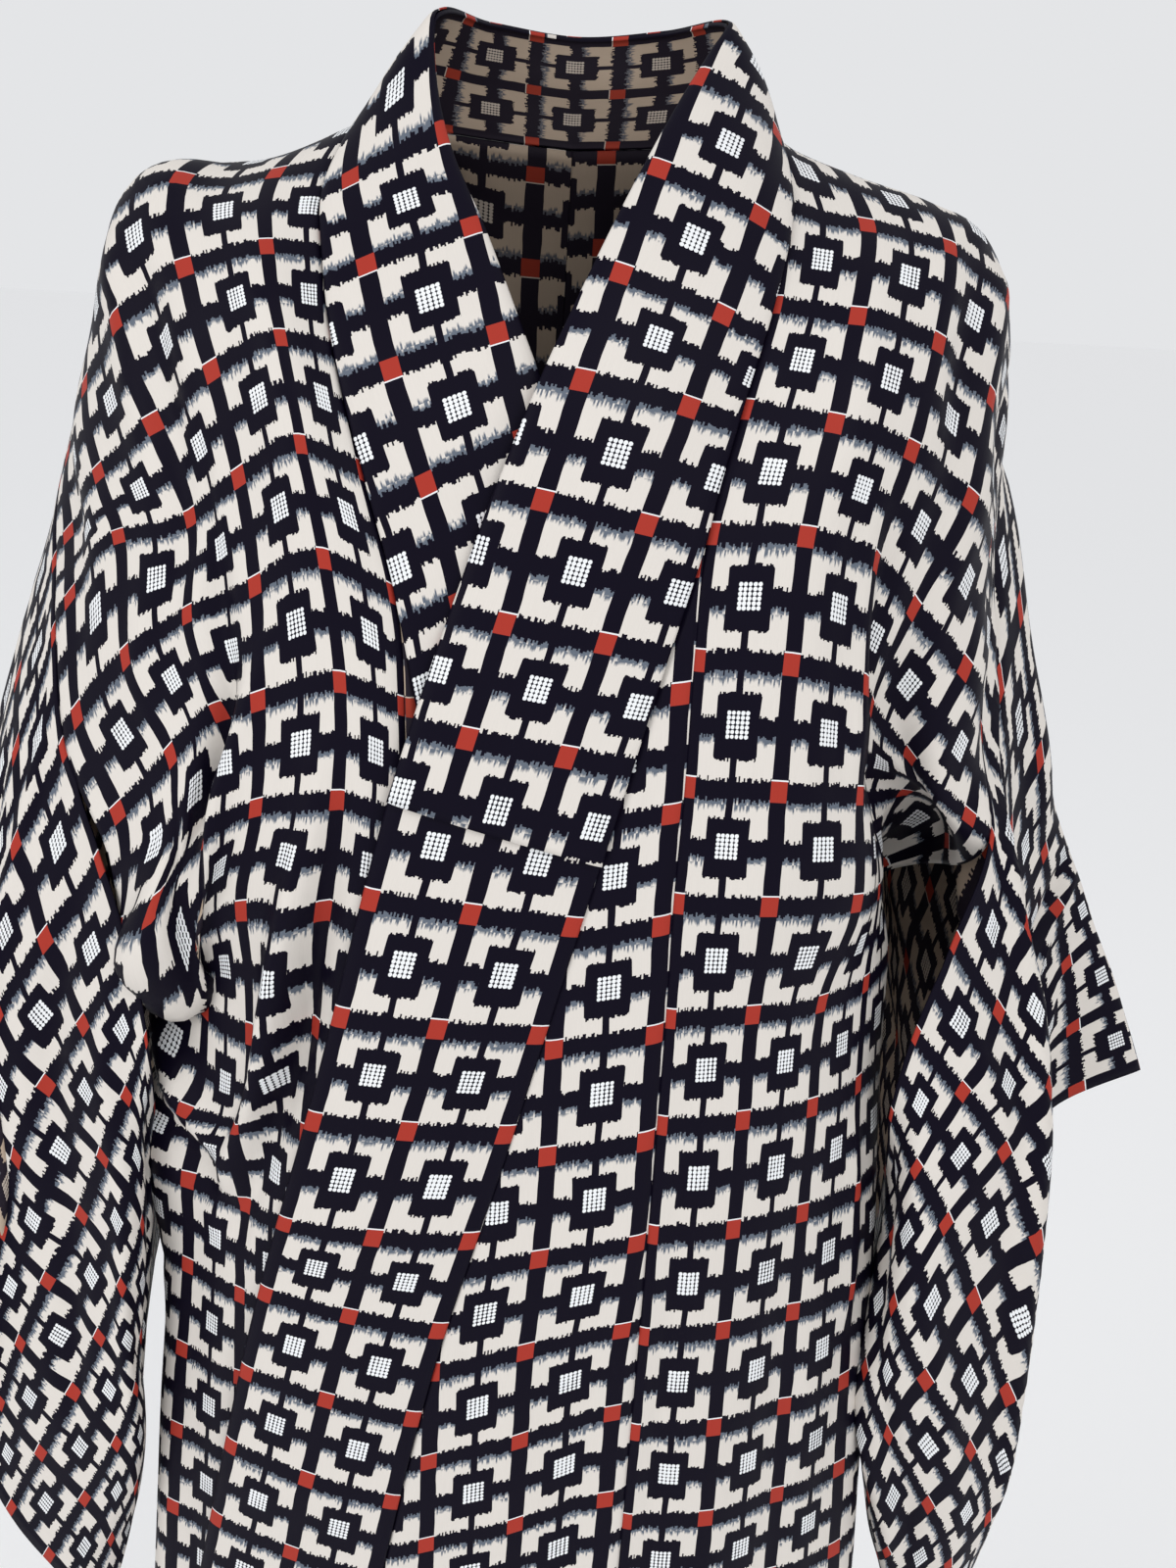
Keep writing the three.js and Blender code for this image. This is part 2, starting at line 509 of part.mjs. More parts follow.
/** Length along the band at which its seam comes down to z on one front. */
function bandDownTo(band, sign, z) {
  let [low, high] = [200 + NAPE, Math.max(...COLLAR_LEFT.map((row) => row.along)) + NAPE];
  for (let i = 0; i < 40; i += 1) {
    const middle = (low + high) / 2;
    if (band.seam(sign * middle)[2] > z) low = middle;
    else high = middle;
  }
  return sign * low;
}

/** Rows of an okumi: where each meets the panel, and its front edge or the band's seam. */
function okumiRows(side, name, body, band, lift) {
  const rows = OKUMI_STEPS[name].map((h) => {
    const right = body.seam(h);
    const u = bandDownTo(band, side, right[2]);
    return { right, left: band.seam(u), u };
  });
  for (const h of OKUMI_LOW) {
    const left = torso(side * (FRONT_SEAM - OKUMI_WIDTH), torsoZ(h), lift);
    rows.push({ right: body.seam(h), left });
  }
  return rows;
}

/** Sheet of an okumi, laid on the chest between its two edges. */
function okumiSheet(rows, side, lift) {
  const sheet = sheetOf();
  const rest = (p) => p[1] - chest(p[0], p[2], lift)[1];
  addGrid(sheet, rows.length, STEP.okumi + 1, (i, j) => {
    const part = (side > 0 ? j : STEP.okumi - j) / STEP.okumi;
    const { left, right } = rows[i];
    const p = mix(right, left, part);
    const laid = chest(p[0], p[2], lift);
    return [laid[0], laid[1] + lerp(rest(right), rest(left), part), laid[2]];
  });
  return sheet;
}

/** Stations along the band: every row of the panels and okumi that it meets. */
function bandStations(okumi) {
  const half = (name, sign) => [
    ...ARM_STEPS.filter((h) => h <= TIP[name]).map((h) => sign * (h + NAPE)),
    ...okumi[name].filter((row) => row.u !== undefined).map((row) => row.u),
  ];
  const neck = [-0.75, -0.5, -0.25, 0, 0.25, 0.5, 0.75].map((part) => part * NAPE);
  const met = [...half('right', -1), ...neck, ...half('left', 1)];
  const ends = [-1, 1].map((sign) => sign * (OVER_COLLAR_END + NAPE));
  const clear = met.filter((u) => ends.every((end) => Math.abs(u - end) > 6));
  return [...clear, ...ends].sort((a, b) => a - b);
}

/** Sheet of the band over a list of stations. */
function bandSheet(band, stations) {
  const sheet = { ...sheetOf(), stations };
  addGrid(sheet, stations.length, STEP.collar + 1, (i, j) => band.at(stations[i], j / STEP.collar));
  return sheet;
}

// ---- sleeves ---------------------------------------------------------------------------
const AROUND = 2 * SLEEVE_DROP;

/** Smooth closed curve of a sleeve table's column, by the length of cloth round it. */
function ringColumn(rows, name) {
  const ring = rows.map((row) => ({ run: row.h < 0 ? AROUND + row.h : row.h, at: row[name] }));
  const before = ring.slice(-2).map((row) => ({ ...row, run: row.run - AROUND }));
  const after = ring.slice(0, 2).map((row) => ({ ...row, run: row.run + AROUND }));
  return column([...before, ...ring, ...after], 'run', 'at');
}

/** Surface of a sleeve: h round it, part 0 at the body and 1 at the wrist. */
function sleeveSurface(table, body) {
  const fold = table.find((row) => row.h === SLEEVE_DROP);
  const front = column(table.filter((row) => row.h >= 0), 'h', 'wrist');
  const rows = table.map((row) => ({
    ...row,
    sewn: row.sewn || body.arm(row.h),
    wrist: row.wrist || front(-row.h),
  }));
  const [sewn, inner, outer, wrist] = ['sewn', 'inner', 'outer', 'wrist']
    .map((name) => ringColumn(rows, name));
  const cuff = (h, run) => {
    if (Math.abs(h) < CUFF_OPEN) return wrist(run);
    const apart = CUFF_SEAM * Math.min(1, (SLEEVE_DROP - Math.abs(h)) / 60) * Math.sign(h);
    return h === SLEEVE_DROP ? fold.wrist : add(front(Math.abs(h)), [0, -apart, 0]);
  };
  return (h, part) => {
    const run = h < 0 ? AROUND + h : h;
    const edge = Math.abs(h) <= SLEEVE_SEWN ? body.arm(h) : sewn(run);
    return spline([0, 1 / 3, 2 / 3, 1], [edge, inner(run), outer(run), cuff(h, run)], part);
  };
}

/** Sheet of a sleeve, closed below the wrist opening by a narrow sewn edge. */
function sleeveSheet(surface, side) {
  const sheet = sheetOf();
  const downs = [...ARM_STEPS.slice(1), ...SLEEVE_STEPS];
  const heights = [0, ...downs, SLEEVE_DROP, ...downs.map((h) => -h).reverse()];
  const turn = (j) => (side < 0 ? j : STEP.sleeve - j) / STEP.sleeve;
  const first = [];
  const ring = addGrid(sheet, heights.length + 1, STEP.sleeve + 1,
    (i, j) => surface(heights[i], turn(j)),
    (i, j) => {
      if (i === 0) first[j] = j;
      return i === heights.length ? first[j] : undefined;
    });
  const wrist = side < 0 ? STEP.sleeve : 0;
  const last = heights.length - 1;
  const opening = heights.findIndex((h) => h >= CUFF_OPEN);
  const bottom = heights.indexOf(SLEEVE_DROP);
  for (let i = opening; i < bottom; i += 1) {
    const [front, below] = [ring[i][wrist], ring[i + 1][wrist]];
    const [back, behind] = [ring[last + 1 - i][wrist], ring[last - i][wrist]];
    sheet.cells.push(side < 0 ? [front, back, behind, below] : [back, front, below, behind]);
  }
  return sheet;
}

// ---- the garment -----------------------------------------------------------------------
/** Gives points that two sheets share one common direction, so that their walls stay parallel. */
function shareDirections(pieces) {
  const sums = new Map();
  const key = (p) => p.map((v) => Math.round(v * 100)).join();
  const visit = (action) => pieces.forEach((piece) => {
    piece.sheet.points.forEach((p, k) => action(piece, key(p), k));
  });
  visit((piece, at, k) => sums.set(at, add(sums.get(at) || [0, 0, 0], piece.normals[k])));
  visit((piece, at, k) => { piece.normals[k] = unit(sums.get(at)); });
}

/** The over-collar: the collar's own points, as far as its two end seams. */
function overCollar(collar) {
  const { points, cells } = collar.sheet;
  const covered = (k) => collar.sheet.stations[Math.floor(k / (STEP.collar + 1))];
  const inside = (k) => Math.abs(covered(k)) <= OVER_COLLAR_END + NAPE + 0.01;
  const sheet = { points: [...points], cells: cells.filter((cell) => cell.every(inside)) };
  return { sheet, normals: collar.normals };
}

/** Mesh of a wall with its own cloth. */
function wallMesh({ name, sheet, normals, wall, lift, colour }) {
  const geometry = wallGeometry(sheet, normals, wall, lift);
  const material = new THREE.MeshStandardMaterial({ color: colour, roughness: 0.7, metalness: 0 });
  const mesh = new THREE.Mesh(geometry, material);
  mesh.name = name;
  return mesh;
}

function buildKimono() {
  const bodies = {
    left: bodySurface(bodyTable(1, LEFT_FRONT, RIDGE.left, LAYER)),
    right: bodySurface(bodyTable(-1, RIGHT_FRONT, RIDGE.right, 0)),
  };
  const band = bandSurface(bandTable(), bodies);
  const okumi = {
    left: okumiRows(1, 'left', bodies.left, band, LAYER),
    right: okumiRows(-1, 'right', bodies.right, band, 0),
  };
  const single = { wall: CLOTH, lift: 0, trim: SEAM_GAP / 2 };
  const sewnOn = { ...single, trim: SLEEVE_TRIM };
  const bandWall = { wall: BAND, lift: BAND_PROUD, trim: 1.5 * SEAM_GAP };
  const overWall = { wall: CLOTH, lift: BAND_PROUD + SEAM_GAP + CLOTH, trim: 1.5 * SEAM_GAP };
  const bandPoints = bandSheet(band, bandStations(okumi));
  const pieces = [
    { name: 'body_left', sheet: bodySheet(bodies.left, 1), colour: COLOURS.body, ...single },
    { name: 'body_right', sheet: bodySheet(bodies.right, -1), colour: COLOURS.body, ...single },
    { name: 'okumi_left', sheet: okumiSheet(okumi.left, 1, LAYER), colour: COLOURS.okumi, ...single },
    { name: 'okumi_right', sheet: okumiSheet(okumi.right, -1, 0), colour: COLOURS.okumi, ...single },
    { name: 'collar', sheet: bandPoints, colour: COLOURS.collar, ...bandWall },
    { name: 'sleeve_left', sheet: sleeveSheet(sleeveSurface(SLEEVE_LEFT, bodies.left), 1),
      colour: COLOURS.sleeve, ...sewnOn },
    { name: 'sleeve_right', sheet: sleeveSheet(sleeveSurface(SLEEVE_RIGHT, bodies.right), -1),
      colour: COLOURS.sleeve, ...sewnOn },
  ];
  for (const piece of pieces) piece.normals = facing(piece.sheet);
  shareDirections(pieces);
  pieces.push({ name: 'over_collar', ...overCollar(pieces[4]), colour: COLOURS.over, ...overWall });
  for (const piece of pieces) trimRim(piece.sheet, piece.normals, piece.trim);
  const kimono = new THREE.Group();
  kimono.name = 'kimono';
  pieces.forEach((piece) => kimono.add(wallMesh(piece)));
  return kimono;
}

export default buildKimono();
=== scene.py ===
"""A kimono worn open-necked and unbelted, left front over right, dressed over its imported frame.

Cloth sizes are in millimetres: w runs across the cloth and h along it, h = 0 on the shoulder.
+Z is up, -Y the wearer's front and +X the wearer's left.
"""

import logging
import math
from dataclasses import dataclass, field
from enum import Enum
from typing import Callable, Sequence

import bmesh
import bpy
import numpy as np
from mathutils import Matrix, Vector


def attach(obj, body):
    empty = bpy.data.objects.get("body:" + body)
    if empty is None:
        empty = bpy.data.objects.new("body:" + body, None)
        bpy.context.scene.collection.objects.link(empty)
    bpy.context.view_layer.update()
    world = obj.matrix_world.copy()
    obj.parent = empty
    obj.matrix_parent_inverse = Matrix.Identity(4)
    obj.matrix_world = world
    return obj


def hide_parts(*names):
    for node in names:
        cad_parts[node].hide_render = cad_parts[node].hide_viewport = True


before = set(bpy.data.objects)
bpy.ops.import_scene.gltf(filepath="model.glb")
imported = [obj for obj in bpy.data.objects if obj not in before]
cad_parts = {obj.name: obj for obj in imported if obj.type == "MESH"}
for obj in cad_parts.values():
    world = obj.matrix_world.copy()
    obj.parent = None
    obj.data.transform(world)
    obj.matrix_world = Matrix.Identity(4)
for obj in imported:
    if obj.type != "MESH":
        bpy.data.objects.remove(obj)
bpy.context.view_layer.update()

LOG = logging.getLogger("kimono")
MM = 0.001
WELD = 2e-5
EASING = 30.0
Array = np.ndarray


class Side(Enum):
    """The wearer's side that a piece is on."""

    LEFT = 1
    RIGHT = -1


# ---- cut of the cloth, as in the frame ------------------------------------------------------
@dataclass(frozen=True)
class Cut:
    """Sizes that the pieces are cut and laid to, and the size of one woven repeat."""

    single: float = 0.9
    doubled: float = 2.2
    band_proud: float = 0.8
    over_band: float = 2.7
    layer: float = 8.0
    neck_half: float = 80.0
    sleeve_line: float = 320.0
    back_width: float = 300.0
    front_seam: float = 66.0
    front_width: float = 242.0
    length: float = 1472.0
    okumi_width: float = 146.0
    sleeve_width: float = 340.0
    sleeve_drop: float = 640.0
    sleeve_sewn: float = 276.0
    cuff_open: float = 230.0
    cuff_seam: float = 7.0
    tube_top: float = 450.0
    tube_full: float = 560.0
    nape: float = 123.0
    over_end: float = 393.0
    collar_foot: float = 894.0
    band_width: float = 104.0
    repeat_across: float = 48.0
    repeat_along: float = 57.0

    @property
    def half_round(self) -> float:
        """Cloth from the centre front to the centre back."""
        return self.front_seam + self.front_width + self.back_width


CUT = Cut()


# ---- smooth curves ---------------------------------------------------------------------------
def spline(knots: Sequence[float], values: Array, t: Array) -> Array:
    """Follows a smooth curve through values at rising knots.

    Args:
        knots: Rising numbers, one for each value.
        values: Array whose first axis matches the knots.
        t: Where along the knots to read the curve.

    Returns:
        The curve's values, with t's axis first.
    """
    k = np.asarray(knots, float)
    v = np.asarray(values, float)
    t = np.atleast_1d(np.asarray(t, float))
    last = len(k) - 1
    i = np.clip(np.searchsorted(k, t, side="right") - 1, 0, last - 1)
    span = k[i + 1] - k[i]
    s = np.clip((t - k[i]) / span, 0, 1)
    shape = (-1,) + (1,) * (v.ndim - 1)

    def slope(j: Array) -> Array:
        """Tangent at knot j, for the span that is read."""
        lo, hi = np.maximum(j - 1, 0), np.minimum(j + 1, last)
        return (v[hi] - v[lo]) * (span / (k[hi] - k[lo])).reshape(shape)

    s = s.reshape(shape)
    a = (2 * s - 3) * s * s
    start = v[i] * (1 + a) - v[i + 1] * a
    return start + slope(i) * (s * (1 - s) ** 2) + slope(i + 1) * (s * s * (s - 1))


def ease(low: float, high: float, t: Array) -> Array:
    """Smooth rise from 0 at low to 1 at high."""
    s = np.clip((np.asarray(t, float) - low) / (high - low), 0, 1)
    return s * s * (3 - 2 * s)


def cross_unit(a: Array, b: Array) -> Array:
    """Unit vectors square to both sets of vectors."""
    n = np.cross(a, b)
    return n / np.maximum(np.linalg.norm(n, axis=-1, keepdims=True), 1e-9)


# ---- tables: the form that the worn cloth takes -----------------------------------------------
FRONT_COLUMNS = ("seam", "a", "b", "c", "d", "arm")
Row = dict[str, Sequence[float]]


def rows_of(heads: Sequence[str], *rows: Sequence) -> list[Row]:
    """Rows of a table with their column names."""
    return [dict(zip(heads, row)) for row in rows]


BODY_HEADS = ("h", *FRONT_COLUMNS)
LEFT_FRONT = rows_of(
    BODY_HEADS,
    (55, (101, -42, -58), (146, -34, -66), (186, -30, -76),
     (216, -6, -104), (230, 30, -136), (238, 58, -178)),
    (112, (93, -77, -99), (135, -76, -104), (177, -63, -116),
     (208, -32, -146), (223, 5, -176), (232, 26, -214)),
    (166, (81, -98, -143), (126, -101, -148), (166, -84, -162),
     (202, -57, -190), (222, -20, -222), (228, -4, -256)),
    (220, (69, -116, -196), (117, -113, -196), (153, -93, -212),
     (178, -75, -240), (212, -59, -274), (224, -33, -304)),
    (276, (67, -124, -252), (115, -120, -253), (151, -99, -268),
     (161, -73, -288), (190, -70, -320), (231, -56, -354)),
    (335, (67, -129, -311), (114, -126, -312), (156, -103, -320),
     (169, -66, -336), (197, -46, -356), (217, -24, -394)),
    (392, (66, -132, -368), (114, -129, -368), (160, -105, -374),
     (177, -64, -384), (187, -18, -394), (198, 12, -424)),
)
RIGHT_FRONT = rows_of(
    BODY_HEADS,
    (50, (-112, -40, -60), (-153, -38, -64), (-194, -30, -76),
     (-222, -10, -106), (-240, 16, -142), (-252, 38, -180)),
    (100, (-108, -72, -96), (-141, -82, -96), (-180, -62, -114),
     (-212, -38, -146), (-240, -14, -178), (-257, 10, -218)),
    (150, (-99, -91, -136), (-127, -99, -131), (-162, -83, -154),
     (-191, -66, -182), (-226, -44, -210), (-253, -14, -250)),
    (200, (-84, -104, -184), (-115, -109, -172), (-148, -94, -194),
     (-175, -80, -216), (-216, -57, -232), (-249, -34, -278)),
    (256, (-68, -112, -238), (-104, -114, -222), (-140, -101, -242),
     (-176, -84, -262), (-210, -68, -294), (-242, -50, -334)),
    (313, (-63, -118, -290), (-96, -119, -280), (-137, -107, -296),
     (-160, -94, -308), (-182, -92, -336), (-216, -78, -374)),
    (370, (-61, -123, -345), (-97, -122, -338), (-138, -112, -348),
     (-163, -104, -368), (-190, -98, -400), (-210, -60, -420)),
    (412, (-62, -125, -388), (-103, -121, -382), (-145, -106, -388),
     (-168, -86, -408), (-190, -48, -432), (-199, -6, -440)),
)
BACK = rows_of(
    ("h", "centre", "nape", *FRONT_COLUMNS),
    (60, (0, 100, -84), (48, 94, -78), (96, 62, -52), (140, 64, -64),
     (178, 68, -84), (203, 82, -116), (211, 98, -160), (212, 106, -212)),
    (130, (0, 113, -150), (48, 111, -146), (95, 98, -114), (138, 97, -124),
     (171, 98, -146), (188, 103, -182), (195, 107, -226), (199, 105, -278)),
    (200, (0, 118, -214), (48, 117, -212), (93, 111, -184), (135, 107, -192),
     (165, 103, -214), (180, 101, -250), (188, 100, -296), (197, 94, -346)),
    (276, (0, 121, -282), (48, 120, -281), (92, 116, -262), (132, 110, -268),
     (160, 102, -286), (177, 95, -320), (189, 88, -364), (206, 76, -416)),
    (360, (0, 122, -352), (48, 121, -352), (92, 118, -344), (132, 110, -348),
     (161, 98, -358), (181, 82, -382), (192, 62, -412), (198, 46, -436)),
)
RIDGE = {
    side: rows_of(BODY_HEADS, (0, *points))[0]
    for side, points in (
        (Side.LEFT, ((95, 5, -27), (140, 9, -43), (183, 16, -58),
                     (214, 34, -90), (226, 58, -126), (230, 84, -164))),
        (Side.RIGHT, ((-98, 5, -29), (-142, 8, -47), (-184, 14, -58),
                      (-214, 28, -88), (-229, 46, -128), (-238, 64, -170))),
    )
}
NECK_BACK = {"centre": (0, 80, -36), "nape": (46, 68, -33)}

# along the collar from the shoulder: its seam and its free edge; no depth means laid on the chest
COLLAR_LEFT = rows_of(
    ("along", "seam", "edge"),
    (-62, (54, 63, -32), (42, 57, 21)),
    (0, (95, 5, -27), (69, 5, 22)),
    (28, (101, -18, -40), (60, -14, 6)),
    (55, (101, -42, -58), (48, -36, -14)),
    (112, (93, -77, -99), (29, -66, -50)),
    (166, (81, -98, -143), (10, -93, -90)),
    (220, (69, -116, -196), (-12, -112, -142)),
    (300, (51, None, -268), (-38, None, -218)),
    (400, (27, None, -365), (-69, None, -324)),
    (540, (-5, None, -500), (-102, None, -474)),
    (700, (-42, None, -655), (-140, None, -638)),
    (920, (-78, None, -872), (-181, None, -862)),
)
COLLAR_RIGHT = rows_of(
    ("along", "seam", "edge"),
    (-62, (-54, 63, -32), (-42, 57, 21)),
    (0, (-98, 5, -29), (-66, 5, 20)),
    (26, (-107, -18, -43), (-65, -10, -8)),
    (50, (-112, -40, -60), (-56, -36, -38)),
    (100, (-108, -72, -96), (-36, -64, -76)),
    (150, (-99, -91, -136), (-16, -92, -118)),
    (200, (-84, -104, -184), (1, -104, -156)),
    (256, (-68, -112, -238), (20, None, -208)),
    (400, (-38, None, -378), (58, None, -346)),
    (540, (-13, None, -514), (88, None, -488)),
    (700, (22, None, -668), (124, None, -648)),
    (906, (68, None, -866), (168, None, -850)),
)
COLLAR_MIDDLE = {"seam": NECK_BACK["centre"], "edge": (0, 74, 18)}

# cloth round a sleeve from its top fold: front rows above 0, back rows below
SLEEVE_HEADS = ("h", "sewn", "inner", "outer", "wrist")
SLEEVE_LEFT = rows_of(
    SLEEVE_HEADS,
    (0, None, (288, 66, -352), (333, 60, -446), (372, 48, -543)),
    (65, None, (276, 36, -378), (305, 40, -470), (318, 36, -562)),
    (130, None, (262, 0, -418), (282, 8, -520), (284, 8, -606)),
    (205, None, (262, -30, -452), (286, -16, -576), (276, -14, -676)),
    (276, None, (276, -50, -478), (298, -30, -622), (276, -22, -728)),
    (332, (214, -76, -404), (280, -64, -508), (304, -38, -664), (280, -27, -776)),
    (389, (198, -88, -452), (263, -81, -538), (302, -50, -700), (284, -30, -824)),
    (446, (192, -82, -502), (234, -93, -575), (294, -62, -732), (285, -30, -868)),
    (503, (199, -56, -552), (211, -94, -628), (282, -70, -760), (281, -28, -908)),
    (565, (208, -18, -604), (202, -80, -688), (262, -68, -802), (276, -22, -942)),
    (640, (216, 22, -660), (213, -46, -760), (240, -40, -860), (268, -12, -968)),
    (-560, (216, 52, -650), (227, -8, -756), (248, 0, -856), None),
    (-480, (212, 72, -600), (229, 42, -712), (254, 38, -826), None),
    (-390, (208, 84, -520), (228, 84, -640), (260, 70, -762), None),
    (-276, None, (238, 106, -556), (272, 84, -672), None),
    (-200, None, (250, 110, -490), (288, 92, -604), (290, 30, -676)),
    (-130, None, (264, 104, -432), (304, 92, -542), (318, 62, -624)),
    (-60, None, (279, 90, -384), (322, 80, -486), (352, 66, -572)),
)
SLEEVE_RIGHT = rows_of(
    SLEEVE_HEADS,
    (0, None, (-276, 50, -330), (-300, 36, -440), (-306, 34, -552)),
    (65, None, (-290, 18, -352), (-295, 6, -466), (-300, 4, -582)),
    (130, None, (-296, -14, -385), (-287, -24, -500), (-296, -22, -618)),
    (205, None, (-293, -40, -430), (-282, -46, -546), (-300, -34, -664)),
    (276, None, (-292, -52, -476), (-284, -56, -594), (-310, -36, -704)),
    (332, (-212, -80, -404), (-284, -58, -516), (-292, -58, -630), (-318, -36, -736)),
    (389, (-198, -90, -446), (-254, -70, -550), (-288, -60, -660), (-318, -42, -768)),
    (446, (-194, -86, -492), (-214, -86, -576), (-264, -72, -684), (-306, -48, -798)),
    (503, (-199, -58, -546), (-203, -84, -620), (-230, -86, -706), (-288, -54, -828)),
    (565, (-208, -18, -600), (-206, -66, -668), (-210, -84, -740), (-262, -58, -860)),
    (640, (-217, 22, -656), (-218, -28, -722), (-218, -54, -802), (-240, -50, -902)),
    (-560, (-217, 52, -646), (-228, 8, -718), (-236, -12, -806), None),
    (-480, (-213, 72, -594), (-229, 48, -690), (-252, 28, -792), None),
    (-390, (-210, 84, -516), (-230, 84, -630), (-268, 58, -750), None),
    (-276, None, (-238, 100, -546), (-282, 74, -664), None),
    (-200, None, (-250, 98, -470), (-286, 70, -592), (-300, 40, -676)),
    (-130, None, (-260, 90, -410), (-290, 62, -528), (-306, 62, -636)),
    (-60, None, (-268, 74, -364), (-297, 50, -474), (-309, 54, -590)),
)


# ---- the hanging tube ------------------------------------------------------------------------
@dataclass
class Tube:
    """The body below the arms: rounded sections that carry standing folds."""

    z: tuple[float, ...] = (-1450, -1100, -845, -700, -572, -470, -380, -310, -240, -180)
    half: tuple[float, ...] = (221, 213, 206, 199, 192, 187, 183, 176, 168, 160)
    front: tuple[float, ...] = (122, 117, 117, 122, 128, 128, 127, 122, 114, 104)
    back: tuple[float, ...] = (150, 142, 136, 132, 128, 124, 122, 121, 120, 118)
    flute: tuple[float, ...] = (18, 16, 14, 12, 9, 6, 3, 0, 0, 0)
    power: float = 2.7
    fold_pitch: float = 118.0
    folds_start: float = 185.0
    first_ridge: float = 18.0
    front_fade: float = 40.0
    back_fade: float = 60.0
    flat_front: float = 90.0
    top_z: float = -428.0
    hem_z: float = -1450.0
    slope_reach: float = 2.0
    _known: dict[float, tuple[Array, Array]] = field(default_factory=dict)

    def sizes(self, z: float) -> tuple[float, float, float, float]:
        """Half width, front depth, back depth and fold depth at z."""
        table = np.stack([self.half, self.front, self.back, self.flute], axis=1)
        return tuple(spline(self.z, table, np.array([z]))[0])

    def folded(self, z: float) -> tuple[Array, Array]:
        """Lengths of cloth and points of half a section, from the centre front.

        Args:
            z: Height of the section.

        Returns:
            The lengths and the points, in step.
        """
        key = round(z, 2)
        if key in self._known:
            return self._known[key]
        half, front, back, flute = self.sizes(z)
        angle = np.linspace(0, math.pi, 321)
        sin, cos = np.sin(angle), np.cos(angle)
        depth = np.where(cos > 0, front, back)
        x = half * np.abs(sin) ** (2 / self.power)
        y = -depth * np.sign(cos) * np.abs(cos) ** (2 / self.power)
        plain = np.stack([x, y], axis=1)
        run = np.concatenate([[0], np.cumsum(np.linalg.norm(np.diff(plain, axis=0), axis=1))])
        away = np.clip((run - self.folds_start) / self.front_fade, 0, 1)
        near = np.clip((run[-1] - run) / self.back_fade, 0, 1)
        wave = np.cos(2 * math.pi * (run - self.folds_start - self.first_ridge) / self.fold_pitch)
        along = np.gradient(plain, axis=0)
        along /= np.linalg.norm(along, axis=1, keepdims=True)
        out = np.stack([along[:, 1], -along[:, 0]], axis=1)
        points = plain + out * (flute * away * near * wave)[:, None]
        cloth = np.concatenate([[0], np.cumsum(np.linalg.norm(np.diff(points, axis=0), axis=1))])
        beyond = np.clip((run - self.flat_front) / self.flat_front, 0, 1)
        self._known[key] = (cloth * (1 + (CUT.half_round / cloth[-1] - 1) * beyond), points)
        return self._known[key]

    def at(self, s: Array, z: float, out: float | Array = 0.0) -> Array:
        """Points at lengths of cloth s from the centre front, moved out.

        Args:
            s: Lengths, above 0 towards the wearer's left.
            z: Height of the section.
            out: How far out of the section.

        Returns:
            One point for each length.
        """
        cloth, points = self.folded(float(z))
        length = np.abs(s)
        x = np.interp(length, cloth, points[:, 0])
        y = np.interp(length, cloth, points[:, 1])
        ahead, behind = length + self.slope_reach, length - self.slope_reach
        dx, dy = (np.interp(ahead, cloth, axis) - np.interp(behind, cloth, axis) for axis in points.T)
        size = np.maximum(np.hypot(dx, dy), 1e-9)
        sign = np.where(np.asarray(s) < 0, -1.0, 1.0)
        x, y = x + dy / size * out, y - dx / size * out
        return np.stack([sign * x, y, np.full_like(x, z)], axis=-1)

    def chest(self, x: Array, z: Array, out: float) -> Array:
        """Depth y of the smooth front at x and z.

        Args:
            x: Distances across from the middle.
            z: Heights, in step with x.
            out: How far in front of the smooth front.

        Returns:
            The depths, in the shape of x.
        """
        table = np.stack([self.half, self.front], axis=1)
        half, front = spline(self.z, table, np.ravel(z)).T
        left = np.maximum(0, 1 - (np.abs(np.ravel(x)) / half) ** self.power)
        return (-front * left ** (1 / self.power) - out).reshape(np.shape(x))

    def z_of(self, h: Array) -> Array:
        """Height of a weft line of the body panels below the arms."""
        part = (np.asarray(h) - CUT.tube_top) / (CUT.length - CUT.tube_top)
        return self.top_z + (self.hem_z - self.top_z) * part


TUBE = Tube()


# ---- folds and creases -----------------------------------------------------------------------
@dataclass(frozen=True)
class Fold:
    """A soft ridge or trough along a line on the cloth.

    Args:
        path: Corners (w, h) of the line, in cloth sizes.
        rise: Height out of the cloth; below 0 it is a trough.
        width: Half width where the fold has fallen to about a third.
        lean: Above 0 the fold is steeper on the side of larger w.
    """

    path: tuple[tuple[float, float], ...]
    rise: float
    width: float
    lean: float = 0.0

    def lift(self, w: Array, h: Array) -> Array:
        """Height of the fold at each point of the cloth.

        Args:
            w: Cloth across.
            h: Cloth along, in the shape of w.

        Returns:
            The heights, in the same shape.
        """
        best = np.full(w.shape, 1e9)
        along = np.zeros(w.shape)
        side = np.zeros(w.shape)
        corners = np.asarray(self.path, float)
        steps = np.linalg.norm(np.diff(corners, axis=0), axis=1)
        start = 0.0
        for (p, q), step in zip(zip(corners[:-1], corners[1:]), steps):
            d = (q - p) / step
            t = np.clip((w - p[0]) * d[0] + (h - p[1]) * d[1], 0, step)
            ox, oy = w - p[0] - t * d[0], h - p[1] - t * d[1]
            away = np.hypot(ox, oy)
            near = away < best
            best = np.where(near, away, best)
            along = np.where(near, (start + t) / steps.sum(), along)
            side = np.where(near, np.sign(ox), side)
            start += step
        width = self.width * (1 - 0.45 * self.lean * side) * (0.7 + 0.5 * np.sin(math.pi * along))
        fade = np.sin(math.pi * np.clip(along, 0.02, 0.98)) ** 0.6
        uneven = 1 + 0.22 * np.sin(9 * along + self.width)
        return self.rise * fade * uneven * np.exp(-((best / width) ** 2))


